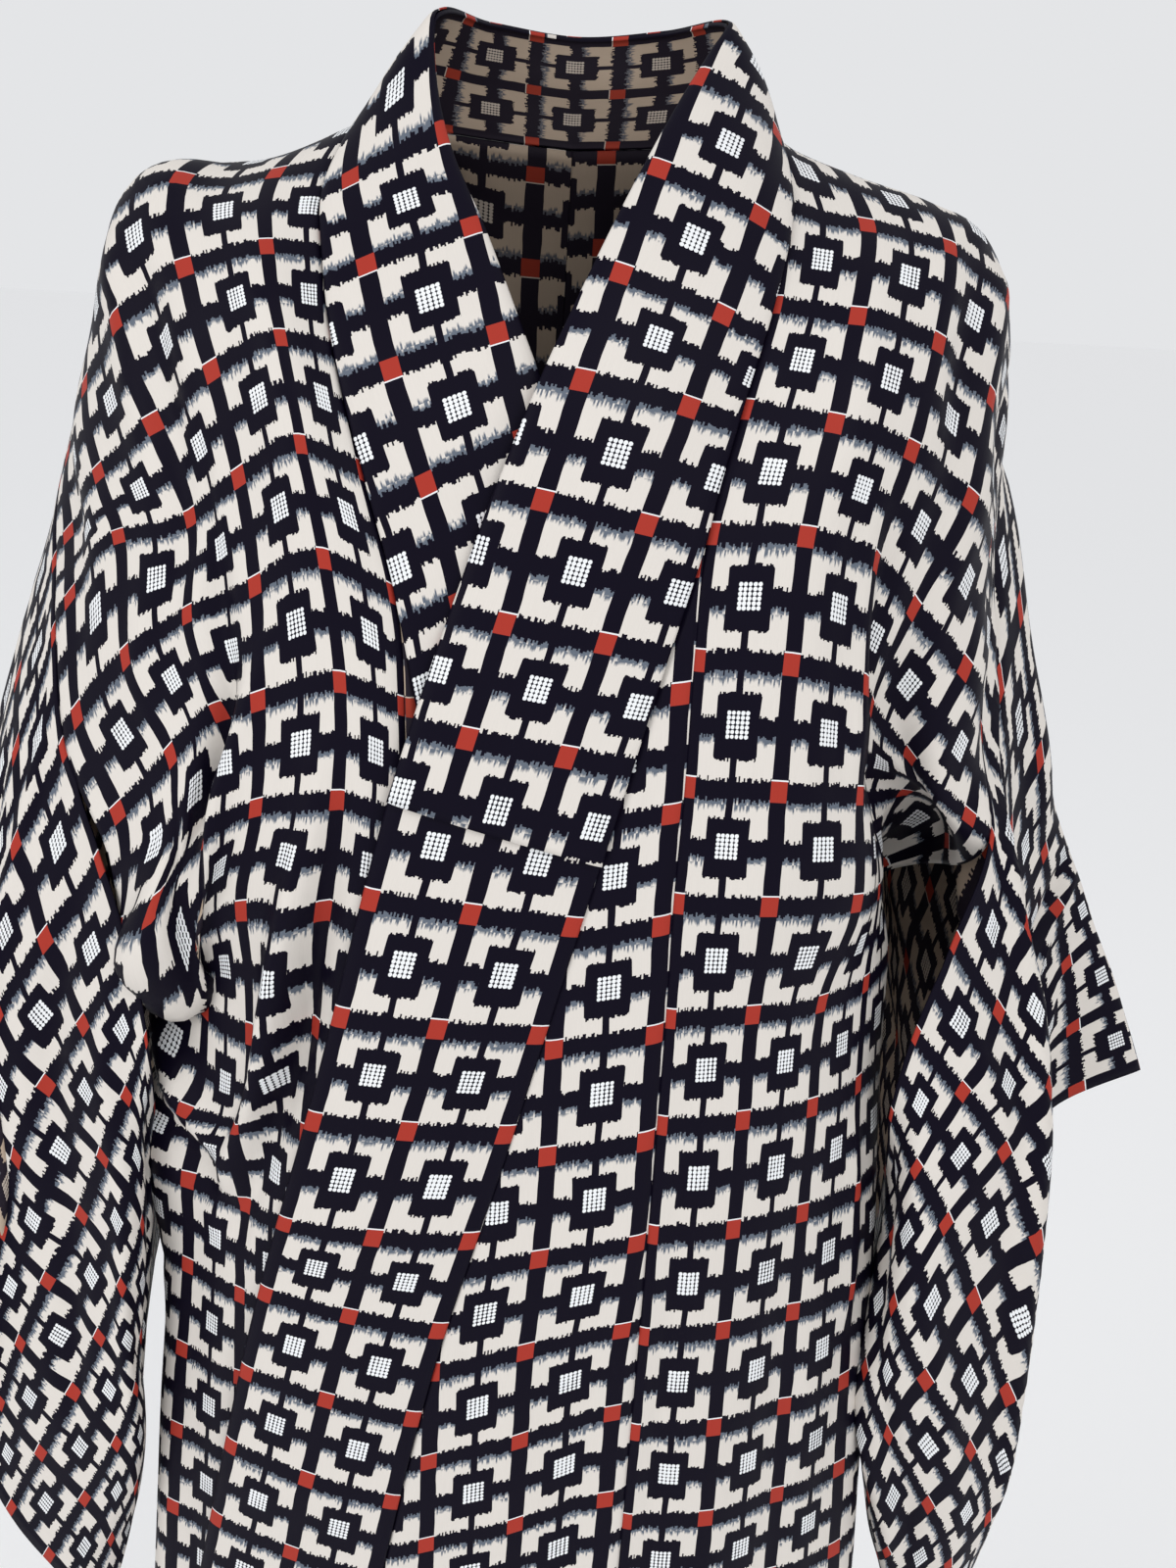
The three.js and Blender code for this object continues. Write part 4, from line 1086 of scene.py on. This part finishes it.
# ---- okumi -----------------------------------------------------------------------------------
@dataclass
class Okumi:
    """The narrow front panel between a body panel and the collar."""

    side: Side
    panel: BodyPanel
    band: Band
    top: float
    lift: float
    margin: tuple[float, float] = (5.0, 5.0)
    row_knots: tuple[float, ...] = (0.0, 30.0)
    row_repeats: tuple[float, ...] = (0.0, 30.0)
    skew_knots: tuple[float, ...] = (0.0, 30.0)
    skews: tuple[float, ...] = (0.0, 0.0)
    folds: tuple[Fold, ...] = ()
    flat_by_seam: float = 10.0

    def nets(self) -> list[Grid]:
        """The okumi's net.

        Returns:
            One net, from the top on the collar to the hem.
        """
        sign = self.side.value
        foot = CUT.collar_foot
        h = np.concatenate([fine(self.top, foot, 5)[:-1], fine(foot, CUT.length, 8)])
        right = self.panel.seam(h)
        left = self.band.seam(self.band.down_to(sign, right[:, 2]))
        free_edge = np.array([sign * (CUT.front_seam - CUT.okumi_width)])
        for i in np.flatnonzero(h > foot):
            left[i] = TUBE.at(free_edge, float(TUBE.z_of(h[i])), self.lift)[0]
        part = band_parts(17)
        points = right[:, None] + (left - right)[:, None] * part[None, :, None]
        laid = TUBE.chest(points[..., 0], points[..., 2], self.lift)
        rest = [end[:, 1] - TUBE.chest(end[:, 0], end[:, 2], self.lift) for end in (right, left)]
        points[..., 1] = laid + rest[0][:, None] * (1 - part) + rest[1][:, None] * part
        w = np.linalg.norm(points - right[:, None], axis=2)
        tall = np.broadcast_to(h[:, None], w.shape)
        first = self.margin[0] + (self.margin[1] - self.margin[0]) * ease(560, 660, tall)
        across = (w - first) / CUT.repeat_across
        beside = np.interp(h, self.panel.row_knots, self.panel.row_repeats)[:, None]
        skewed = beside - across * np.interp(beside, self.skew_knots, self.skews)
        v = np.interp(skewed, self.row_knots, self.row_repeats)
        repeats = np.stack([-across * sign, v], axis=-1)
        net = Grid.over(points, repeats, sign)
        edge = np.minimum(w, w[:, -1:] - w)
        loose = relief(self.folds, w, tall) + slack(w, tall, 0.9, 4.0)
        return [net.lifted(loose * np.clip(edge / self.flat_by_seam, 0, 1) + sewn_edge(edge))]


# ---- sleeves ---------------------------------------------------------------------------------
@dataclass
class Sleeve:
    """A sleeve: one length of cloth folded on top and seamed below the wrist opening."""

    side: Side
    panel: BodyPanel
    table: list[Row]
    first_row: float
    folds: tuple[Fold, ...] = ()
    sags: tuple[Sag, ...] = ()
    seed: float = 1.0
    edge_round: float = 1.5
    flat_by_seam: float = 14.0
    flat_by_fold: float = 15.0

    def __post_init__(self) -> None:
        """Sets up the closed curves round the sleeve."""
        around = 2 * CUT.sleeve_drop
        front = [row for row in self.table if row["h"] >= 0]
        self.front_knots = [row["h"] for row in front]
        self.front_wrist = np.array([row["wrist"] for row in front], float)
        rows = []
        for row in self.table:
            h, sewn, wrist = row["h"], row["sewn"], row["wrist"]
            if sewn is None:
                sewn = self.panel.arm(h)[0]
            if wrist is None:
                wrist = spline(self.front_knots, self.front_wrist, np.array([-h]))[0]
            rows.append((h + (around if h < 0 else 0), (sewn, row["inner"], row["outer"], wrist)))
        before = [(run - around, p) for run, p in rows[-2:]]
        after = [(run + around, p) for run, p in rows[:2]]
        ring = [*before, *rows, *after]
        self.knots = [run for run, _ in ring]
        self.curves = np.array([p for _, p in ring], float)

    def wide(self, h: Array, part: Array) -> Array:
        """Points between the body (part 0) and the wrist (1).

        Args:
            h: Cloth round the sleeve from its top fold, below 0 at the back.
            part: Parts of the width.

        Returns:
            Rows by columns of points.
        """
        run = np.where(h < 0, h + 2 * CUT.sleeve_drop, h)
        rows = spline(self.knots, self.curves, run)
        sewn = np.abs(h) <= CUT.sleeve_sewn
        rows[sewn, 0] = self.panel.arm(h[sewn])
        shut = np.abs(h) >= CUT.cuff_open
        down = np.abs(h[shut])
        apart = CUT.cuff_seam * np.clip((CUT.sleeve_drop - down) / 60, 0, 1) * np.sign(h[shut])
        rows[shut, 3] = spline(self.front_knots, self.front_wrist, down)
        rows[shut, 3, 1] -= apart
        return spline([0, 1 / 3, 2 / 3, 1], rows.swapaxes(0, 1), part).swapaxes(0, 1)

    def repeats(self, w: Array, h: Array) -> Array:
        """The pattern's place at cloth sizes w and h."""
        across, along = w / CUT.repeat_across, (h - self.first_row) / CUT.repeat_along
        return np.stack([across * self.side.value, along], axis=-1)

    def nets(self) -> list[Grid]:
        """The sleeve's nets.

        Returns:
            The front, the back and the narrow sewn edge below the wrist opening.
        """
        marks = (0, CUT.cuff_open, CUT.sleeve_sewn, CUT.sleeve_drop)
        down = np.concatenate([*(fine(a, b, 6)[:-1] for a, b in zip(marks, marks[1:])), marks[-1:]])
        bottom = len(down) - 1
        h = np.concatenate([down, -down[::-1][1:]])
        w = np.broadcast_to(SLEEVE_PARTS[None, :] * CUT.sleeve_width, (len(h), len(SLEEVE_PARTS)))
        tall = np.broadcast_to(h[:, None], w.shape)
        points = self.wide(h, SLEEVE_PARTS) + hung(self.sags, w, tall)
        ring = np.concatenate([points[-3:-1], points, points[1:3]])
        outward = Grid.over(ring, np.zeros((*ring.shape[:2], 2)), -self.side.value).outward[2:-2]
        shown = Grid(points, self.repeats(w, tall), outward).lifted(self.rise(w, tall))
        front = Grid(shown.points[: bottom + 1], shown.repeats[: bottom + 1], outward[: bottom + 1])
        lower = self.repeats(w[:1], -tall[bottom : bottom + 1])
        at_back = np.concatenate([lower, shown.repeats[bottom + 1 :]])
        back = Grid(shown.points[bottom:], at_back, outward[bottom:])
        return [front, back, self._sewn_edge(shown, h, bottom)]

    def _sewn_edge(self, shown: Grid, h: Array, bottom: int) -> Grid:
        """The narrow edge that closes the sleeve below its wrist opening.

        Args:
            shown: The sleeve's whole net.
            h: Cloth round the sleeve, for the net's rows.
            bottom: The row of the lower fold.

        Returns:
            The edge's net, three points wide.
        """
        low = np.flatnonzero(h[:bottom] >= CUT.cuff_open)
        ahead, behind = shown.points[low, -1], shown.points[len(h) - 1 - low, -1]
        strip = np.stack([ahead, (ahead + behind) / 2, behind], axis=1)
        w = np.broadcast_to(CUT.sleeve_width + np.array([0.0, 3.0, 6.0]), strip.shape[:2])
        tall = np.broadcast_to(h[low][:, None], w.shape)
        edge = Grid.over(strip, self.repeats(w, tall), -self.side.value)
        edge.points[:, 1] += edge.outward[:, 1] * self.edge_round
        return edge

    def rise(self, w: Array, h: Array) -> Array:
        """Folds and unevenness of the sleeve.

        Args:
            w: Cloth across.
            h: Cloth round the sleeve, in the shape of w.

        Returns:
            Heights out of the sleeve's surface, in the same shape.
        """
        tall = np.abs(h)
        free = ease(CUT.sleeve_sewn, CUT.sleeve_sewn + EASING, tall)
        cuff = 1 - ease(CUT.cuff_open - 40, CUT.cuff_open, tall)
        by_body, by_wrist = (np.clip(away / self.flat_by_seam, 0, 1) for away in (w, CUT.sleeve_width - w))
        edge = np.maximum(by_body, free) * np.maximum(by_wrist, cuff)
        end = np.clip((CUT.sleeve_drop - tall) / self.flat_by_fold, 0, 1)
        loose = relief(self.folds, w, h) + slack(w, h, 1.5, self.seed)
        return loose * edge * end + sewn_edge(w) * (tall <= CUT.sleeve_sewn)


# ---- finishes --------------------------------------------------------------------------------
class Node:
    """A socket of a material's node tree, with arithmetic that adds Math nodes."""

    def __init__(self, tree: bpy.types.NodeTree, socket: bpy.types.NodeSocket) -> None:
        """Wraps a socket of a tree."""
        self.tree, self.socket = tree, socket

    def _math(self, operation: str, *inputs: "Node | float") -> "Node":
        """A Math node on this socket and others."""
        return add_node(self.tree, "ShaderNodeMath", {"operation": operation}, dict(enumerate(inputs)))

    def __add__(self, other: "Node | float") -> "Node":
        """Sum."""
        return self._math("ADD", self, other)

    __radd__ = __add__

    def __sub__(self, other: "Node | float") -> "Node":
        """Difference."""
        return self._math("SUBTRACT", self, other)

    def __rsub__(self, other: float) -> "Node":
        """Difference from a number."""
        return self._math("SUBTRACT", other, self)

    def __mul__(self, other: "Node | float") -> "Node":
        """Product."""
        return self._math("MULTIPLY", self, other)

    __rmul__ = __mul__

    def __lt__(self, other: "Node | float") -> "Node":
        """1 where this is less."""
        return self._math("LESS_THAN", self, other)

    def __gt__(self, other: "Node | float") -> "Node":
        """1 where this is greater."""
        return self._math("GREATER_THAN", self, other)

    def __abs__(self) -> "Node":
        """Size without its sign."""
        return self._math("ABSOLUTE", self)

    def __pow__(self, power: float) -> "Node":
        """Power."""
        return self._math("POWER", self, power)

    def floor(self) -> "Node":
        """Whole part."""
        return self._math("FLOOR", self)

    def fold(self) -> "Node":
        """Signed distance to the nearest whole number."""
        return self - (self + 0.5).floor()

    def either(self, other: "Node") -> "Node":
        """The larger of two masks."""
        return self._math("MAXIMUM", self, other)


def add_node(
    tree: bpy.types.NodeTree, kind: str, settings: dict, inputs: dict, output: int | str = 0
) -> Node:
    """Adds a node, sets it and fills or links its sockets.

    Args:
        tree: The material's node tree.
        kind: The node's type.
        settings: Attributes that are set first.
        inputs: Values or sockets by input name or number.
        output: Which output is wanted.

    Returns:
        The wrapped output socket.
    """
    made = tree.nodes.new(kind)
    for name, value in settings.items():
        setattr(made, name, value)
    for name, value in inputs.items():
        if isinstance(value, Node):
            tree.links.new(value.socket, made.inputs[name])
        else:
            made.inputs[name].default_value = value
    return Node(tree, made.outputs[output])


def linear(red: int, green: int, blue: int) -> tuple[float, float, float, float]:
    """A colour given as 0 to 255 on a screen, as the shader's linear colour."""
    shares = (channel / 255 for channel in (red, green, blue))
    return (*(s / 12.92 if s <= 0.04045 else ((s + 0.055) / 1.055) ** 2.4 for s in shares), 1.0)


@dataclass(frozen=True)
class Palette:
    """Colours of the dyed threads, as seen on one face of the cloth; the wrong side's set is partly
    painted shade.
    """

    navy: tuple[float, ...] = linear(12, 8, 24)
    cream: tuple[float, ...] = linear(217, 211, 204)
    slate: tuple[float, ...] = linear(98, 106, 118)
    vermilion: tuple[float, ...] = linear(166, 55, 44)
    white: tuple[float, ...] = linear(234, 236, 238)
    roughness: float = 0.5


RIGHT_SIDE = Palette()
# Inner face colours: partly the silk's duller wrong side, partly painted shade of the hollows where the
# inside shows.
SHADED_WRONG_SIDE = Palette(
    navy=linear(34, 29, 38), cream=linear(176, 158, 140), slate=linear(92, 92, 98),
    vermilion=linear(150, 56, 42), white=linear(186, 174, 162), roughness=0.6)


@dataclass(frozen=True)
class Kasuri:
    """Woven lattice of resist-dyed threads; one repeat is one unit of the cloth's UV map.

    Args:
        bar: Half width of the main bars, and half the side of the vermilion squares.
        mid_line: Half width of the thin warp line between them.
        mid_bar: Half width of the weft bar between them.
        block: Half sizes of the dark block round the dots.
        clip: Where the block's corners are cut off.
        dots: Half sizes of the panel of dots.
        dot_count: Dots across and along the panel.
        threads: Threads that end apart, in one repeat.
        rag: How far the thread ends lie apart.
        cloud: Length of the pale dye below the bars.
        cloud_fade: How sharply that dye ends.
        sheen: Strength of the reflection.
    """

    bar: float = 0.088
    mid_line: float = 0.036
    mid_bar: float = 0.078
    block: tuple[float, float] = (0.228, 0.262)
    clip: float = 0.472
    dots: tuple[float, float] = (0.118, 0.112)
    dot_count: tuple[int, int] = (5, 6)
    threads: float = 58.0
    rag: float = 0.05
    cloud: float = 0.05
    cloud_fade: float = 32.0
    sheen: float = 0.07

    def face(self) -> bpy.types.Material:
        """The right side of the cloth."""
        return self._made("kasuri_silk", RIGHT_SIDE)

    def reverse(self) -> bpy.types.Material:
        """The wrong side: duller and warmer thread, darkened further with painted shade."""
        return self._made("kasuri_silk_reverse", SHADED_WRONG_SIDE)

    def _made(self, name: str, colours: Palette) -> bpy.types.Material:
        """Makes one face's material, or finds it again.

        Args:
            name: The material's name.
            colours: The threads' colours on that face, with painted shade in the wrong side's set.

        Returns:
            The material.
        """
        found = bpy.data.materials.get(name)
        if found is not None:
            return found
        made = bpy.data.materials.new(name)
        made.use_nodes = True
        tree = made.node_tree
        shader = tree.nodes["Principled BSDF"]
        place = add_node(tree, "ShaderNodeUVMap", {"uv_map": "cloth"}, {})
        u, v = (add_node(tree, "ShaderNodeSeparateXYZ", {}, {0: place}, axis) for axis in "XY")
        colour = self._pattern(tree, u, v, colours)
        thread = add_node(tree, "ShaderNodeCombineXYZ", {}, {0: u * 150.0, 1: v * 4.0})
        fine_noise = {"Vector": thread, "Scale": 1.0, "Detail": 2.0}
        streak = add_node(tree, "ShaderNodeTexNoise", {}, fine_noise)
        tone = add_node(tree, "ShaderNodeCombineXYZ", {}, dict.fromkeys(range(3), streak * 0.10 + 0.95))
        shaded = add_node(tree, "ShaderNodeVectorMath", {"operation": "MULTIPLY"}, {0: colour, 1: tone})
        ribs = {"Strength": 0.12, "Distance": 0.0004, "Height": streak}
        weave = add_node(tree, "ShaderNodeBump", {}, ribs)
        tree.links.new(shaded.socket, shader.inputs["Base Color"])
        tree.links.new(weave.socket, shader.inputs["Normal"])
        shader.inputs["Roughness"].default_value = colours.roughness
        shader.inputs["Specular IOR Level"].default_value = self.sheen
        return made

    def _pattern(self, tree: bpy.types.NodeTree, u: Node, v: Node, colours: Palette) -> Node:
        """The lattice's colour from the place on the cloth.

        Args:
            tree: The material's node tree.
            u: Repeats across the cloth.
            v: Repeats along the cloth.
            colours: The threads' colours, with painted shade in the wrong side's set.

        Returns:
            The colour socket.
        """
        def noise(kind: str, x: Node, y: Node, settings: dict, **inputs: float) -> Node:
            """A noise node read at x and y."""
            seat = add_node(tree, "ShaderNodeCombineXYZ", {}, {0: x, 1: y})
            return add_node(tree, kind, settings, {"Vector": seat, **inputs})

        strand = (u * self.threads).floor()
        quarter = (v * 4.0 + 0.5).floor()
        flat = {"noise_dimensions": "2D"}
        chance = noise("ShaderNodeTexWhiteNoise", strand * 0.731, quarter * 1.37, flat)
        shifted = noise("ShaderNodeTexWhiteNoise", strand * 1.913, quarter * 0.77, flat)
        wobble = noise("ShaderNodeTexNoise", u * 3.0, v * 3.0, {}, Scale=1.0, Detail=1.0)
        across = (u + (wobble - 0.5) * 0.03).fold()
        along = (v + (chance - 0.5) * self.rag + (wobble - 0.5) * 0.02).fold()
        plain = v.fold()
        from_mid_u, from_mid_v = 0.5 - abs(across), 0.5 - abs(along)
        warp = (abs(across) < self.bar).either(from_mid_u < self.mid_line)
        weft = (abs(along) < self.bar).either(from_mid_v < self.mid_bar)
        thread_end = 0.5 - abs((v + (chance - 0.5) * (self.rag * 0.6)).fold())
        block = (from_mid_u < self.block[0]) * (thread_end < self.block[1])
        block = block * (from_mid_u + thread_end < self.clip)
        navy = warp.either(weft).either(block)

        def dye_below(bar: float, away: Node, least: float) -> Node:
            """Mask of the pale dye that runs out below a bar."""
            left = shifted * self.cloud + (bar + least) - away
            return (away > bar) * (left * self.cloud_fade + 0.5)

        below_mid = dye_below(self.mid_bar, (along + 0.5).fold(), 0.022)
        cloud = dye_below(self.bar, along, 0.03).either(below_mid)
        square = (abs((u + 0.004).fold()) < self.bar) * (abs(plain) < self.bar)
        outline = (abs(u.fold()) < self.bar + 0.004) * (plain > -self.bar - 0.012) * (plain < -self.bar)
        cell_u, cell_v = (u + 0.49).fold(), (v + 0.515).fold()
        inside = (abs(cell_u) < self.dots[0]) * (abs(cell_v) < self.dots[1])
        dot_u, dot_v = (
            (cell * (count / (2 * half)) + 0.5 * count + 0.5).fold()
            for cell, count, half in zip((cell_u, cell_v), self.dot_count, self.dots))
        uneven = wobble * 0.12 + chance * 0.05
        dots = inside * (dot_u * dot_u + dot_v * dot_v * 0.8 + uneven < 0.28)
        layers = (
            (cloud, colours.slate), (navy, colours.navy), (square, colours.vermilion),
            (outline, colours.white), (dots, colours.white))
        colour: Node | tuple = colours.cream
        for mask, over in layers:
            laid = {0: mask, 6: colour, 7: over}
            colour = add_node(tree, "ShaderNodeMix", {"data_type": "RGBA"}, laid, 2)
        return colour


# ---- studio ----------------------------------------------------------------------------------
@dataclass(frozen=True)
class Studio:
    """Plain pale floor, soft light and the camera."""

    floor_z: float = -1.452
    floor_size: float = 40.0
    floor_shade: float = 0.975
    sky: tuple[float, ...] = (0.97, 0.98, 1.0, 1.0)
    sky_strength: float = 0.8
    lamps: tuple[tuple[str, float, float, tuple[float, float, float]], ...] = (
        ("key", 20.0, 1.6, (0.9, -2.2, 1.2)), ("side", 15.0, 1.0, (-2.0, -1.5, 0.5)))
    aim: tuple[float, float, float] = (0.0, 0.0, -0.45)
    eye: tuple[float, float, float] = (0.0, -0.850, -0.058)
    pitch: float = math.radians(19.4)
    roll: float = math.radians(3.0)
    focal_px: float = 1700.0
    frame_height_px: float = 1600.0
    sensor_mm: float = 36.0
    shift: tuple[float, float] = (0.0312, -0.0016)

    def floor(self) -> None:
        """A wide pale floor that isn't part of the object."""
        bpy.ops.object.select_all(action="DESELECT")
        bpy.ops.mesh.primitive_plane_add(size=self.floor_size, location=(0, 0, self.floor_z))
        plane = bpy.context.object
        plane.name = "floor"
        pale = bpy.data.materials.new("pale_floor")
        pale.use_nodes = True
        shader = pale.node_tree.nodes["Principled BSDF"]
        shader.inputs["Base Color"].default_value = (*[self.floor_shade] * 3, 1)
        shader.inputs["Roughness"].default_value = 0.9
        plane.data.materials.append(pale)

    def lights(self) -> None:
        """A pale sky and two large soft lamps."""
        world = bpy.data.worlds.new("studio")
        bpy.context.scene.world = world
        world.use_nodes = True
        back = world.node_tree.nodes["Background"]
        back.inputs["Color"].default_value = self.sky
        back.inputs["Strength"].default_value = self.sky_strength
        for name, power, size, place in self.lamps:
            data = bpy.data.lights.new(name, "AREA")
            data.energy, data.size = power, size
            lamp = bpy.data.objects.new(name, data)
            bpy.context.collection.objects.link(lamp)
            lamp.location = place
            ray = Vector(self.aim) - lamp.location
            lamp.rotation_euler = ray.to_track_quat("-Z", "Y").to_euler()

    def camera(self) -> None:
        """The camera, level side tipped down and rolled a little."""
        data = bpy.data.cameras.new("camera")
        eye = bpy.data.objects.new("camera", data)
        bpy.context.collection.objects.link(eye)
        data.sensor_width = self.sensor_mm
        data.lens = self.sensor_mm * self.focal_px / self.frame_height_px
        cos, sin = math.cos(self.roll), math.sin(self.roll)
        level = np.array((1.0, 0.0, 0.0))
        up = np.array((0.0, math.sin(self.pitch), math.cos(self.pitch)))
        ahead = np.array((0.0, math.cos(self.pitch), -math.sin(self.pitch)))
        axes = (level * cos + up * sin, up * cos - level * sin, -ahead)
        rows = [[*(axis[i] for axis in axes), self.eye[i]] for i in range(3)]
        eye.matrix_world = Matrix([*rows, [0, 0, 0, 1]])
        data.shift_x, data.shift_y = self.shift
        data.clip_start, data.clip_end = 0.02, 60
        bpy.context.scene.camera = eye
        bpy.context.scene.view_settings.view_transform = "Standard"


# ---- the garment -----------------------------------------------------------------------------
@dataclass
class Kimono:
    """All eight cut pieces, sewn where they meet."""

    cloth: Kasuri = Kasuri()

    def panels(self) -> tuple[BodyPanel, BodyPanel]:
        """The two body panels.

        Returns:
            The left one and the right one.
        """
        left = BodyPanel(
            Side.LEFT, LEFT_FRONT, CUT.layer,
            row_knots=(-1472, 0, 55, 112, 166, 220, 276, 335, 392, 450, 508, 571, 634, 698, 760, 1472),
            row_repeats=(-26.3, -0.95, 0, 1, 2, 3, 4, 5, 6, 7, 8, 9, 10, 11, 12, 23.9),
            neck_knots=(-1472, 0, 55, 112, 1472), neck_widths=(80, 80, 71, 66, 66),
            folds=LEFT_BODY_FOLDS, seed=0.4)
        right = BodyPanel(
            Side.RIGHT, RIGHT_FRONT, 0.0,
            row_knots=(-1472, 0, 50, 100, 150, 200, 256, 313, 370, 412, 1472),
            row_repeats=(-26.3, -0.7, 0.25, 1.24, 2.18, 3.1, 4.1, 5.13, 6.15, 6.9, 25.4),
            neck_knots=(-1472, 0, 50, 100, 150, 200, 1472), neck_widths=(80, 80, 81, 77.5, 71, 66, 66),
            folds=RIGHT_BODY_FOLDS, sags=RIGHT_BODY_SAGS, seed=1.9)
        return left, right

    def build(self) -> None:
        """Builds and dresses every piece, in the order they are sewn."""
        left, right = self.panels()
        band = Band(left, right)
        body_area = 0.31 * 1.472 + 0.25 * 1.472
        self._dress(left, "body_left", "body_cloth", (0.32, 2.944), body_area)
        self._dress(right, "body_right", "body_cloth", (0.32, 2.944), body_area)
        okumi_left = Okumi(
            Side.LEFT, left, band, 226.0, CUT.layer, margin=(5.0, 10.5),
            row_knots=(0, 4.27, 5.23, 6.19, 7.13, 8.14, 9.08, 10.79, 11.75, 28),
            row_repeats=(-0.27, 4, 5, 6, 7, 8, 9, 11, 12, 29),
            skew_knots=(0, 9, 11, 30), skews=(0.16, 0.17, 0.3, 0.3), folds=OKUMI_FOLDS)
        okumi_right = Okumi(Side.RIGHT, right, band, 256.0, 0.0, folds=OKUMI_FOLDS)
        for name, strip, length in (("okumi_left", okumi_left, 1.25), ("okumi_right", okumi_right, 1.22)):
            self._dress(strip, name, "okumi_cloth", (0.146, length), 0.146 * length * 0.82)
        collar = BandCover(band, *band.ends, CUT.band_proud, self.collar_repeats, COLLAR_FOLDS)
        self._dress(collar, "collar", "collar_cloth", (0.104, 2.072), 0.2, CUT.doubled)
        end = CUT.over_end + CUT.nape
        over_collar = BandCover(
            band, -end, end, CUT.over_band, self.over_repeats, COLLAR_FOLDS, slant=8.5, end_rise=1.2)
        self._dress(over_collar, "over_collar", "over_collar_cloth", (0.104, 1.032), 0.095)
        sleeve_left = Sleeve(Side.LEFT, left, SLEEVE_LEFT, 275.0, LEFT_SLEEVE_FOLDS, LEFT_SLEEVE_SAGS)
        sleeve_right = Sleeve(Side.RIGHT, right, SLEEVE_RIGHT, 313.0, RIGHT_SLEEVE_FOLDS, seed=2.6)
        self._dress(sleeve_left, "sleeve_left", "sleeve_cloth", (0.34, 1.28), 0.28)
        self._dress(sleeve_right, "sleeve_right", "sleeve_cloth", (0.34, 1.28), 0.25)

    def _dress(
        self, shape: "BodyPanel | Okumi | BandCover | Sleeve", node: str, slot: str,
        flat: tuple[float, float], area: float, thickness: float = CUT.single
    ) -> None:
        """Dresses one node in its piece of cloth.

        Args:
            shape: What gives the piece's nets.
            node: The frame's node that the piece stands for.
            slot: Name of its material slot; not used.
            flat: Width and length of the flat cloth, in metres; not used.
            area: Area of the flat cloth, in square metres; not used.
            thickness: Thickness of the piece's wall, in millimetres.
        """
        Piece(f"{node}_cloth", node, slot, flat, area, thickness).dress(shape.nets(), self.cloth)

    @staticmethod
    def collar_repeats(u: Array, part: Array, first_square: float = 4.0) -> Array:
        """The pattern's place on the collar, whose weft slants a little where the band curves.

        Args:
            u: Lengths along the band, a row each.
            part: Parts of the width, a column each.
            first_square: Distance of the first row of squares from the seam.

        Returns:
            Rows by columns of places.
        """
        across = (CUT.band_width * part[None, :] - first_square) / CUT.repeat_across
        across = np.broadcast_to(across, (len(u), len(part)))
        slant = np.interp(u, (-200, 0, 400, 740, 790, 900), (0, 0, 14, 14, 7, 2))
        square = u[:, None] - across * slant[:, None]
        knots = (-1100, 541, 600, 657, 723, 781, 841, 900, 1100)
        v = np.interp(square, knots, (-28.8, 0, 1, 2, 3, 4, 5, 6, 9.5))
        return np.stack([across, v], axis=-1)

    @staticmethod
    def over_repeats(u: Array, part: Array) -> Array:
        """The pattern's place on the over-collar, which shows more of its inner side lower down.

        Args:
            u: Lengths along the band, a row each.
            part: Parts of the width, a column each.

        Returns:
            Rows by columns of places.
        """
        along = np.abs(u) - CUT.nape
        edge = np.interp(along, (0, 75, 230, 300, 405), (-3, 4, 20, 26, 30))
        seam = np.interp(along, (0, 75, 230, 300, 405), (8, 17, 29, 31, 35))
        w = (CUT.repeat_across + seam)[:, None] * (1 - part)[None, :] - edge[:, None] * part[None, :]
        slant = np.interp(u, (-300, -170, 0, 165, 380, 483), (8, 8, 0, 18, 19, 13))
        across = w / CUT.repeat_across
        square = u[:, None] + across * slant[:, None]
        knots = (-600, -376, -322, -270, -219, -170, 165, 224, 281, 325, 376, 433, 483, 600)
        v = np.interp(square, knots, (-11, -7, -6, -5, -4, -3, 3, 4, 5, 6, 7, 8, 9, 11))
        return np.stack([across, v], axis=-1)


def main() -> None:
    """Builds the kimono and the studio round it."""
    logging.basicConfig(level=logging.INFO)
    Kimono().build()
    studio = Studio()
    studio.floor()
    studio.lights()
    studio.camera()


if __name__ == "__main__":
    main()
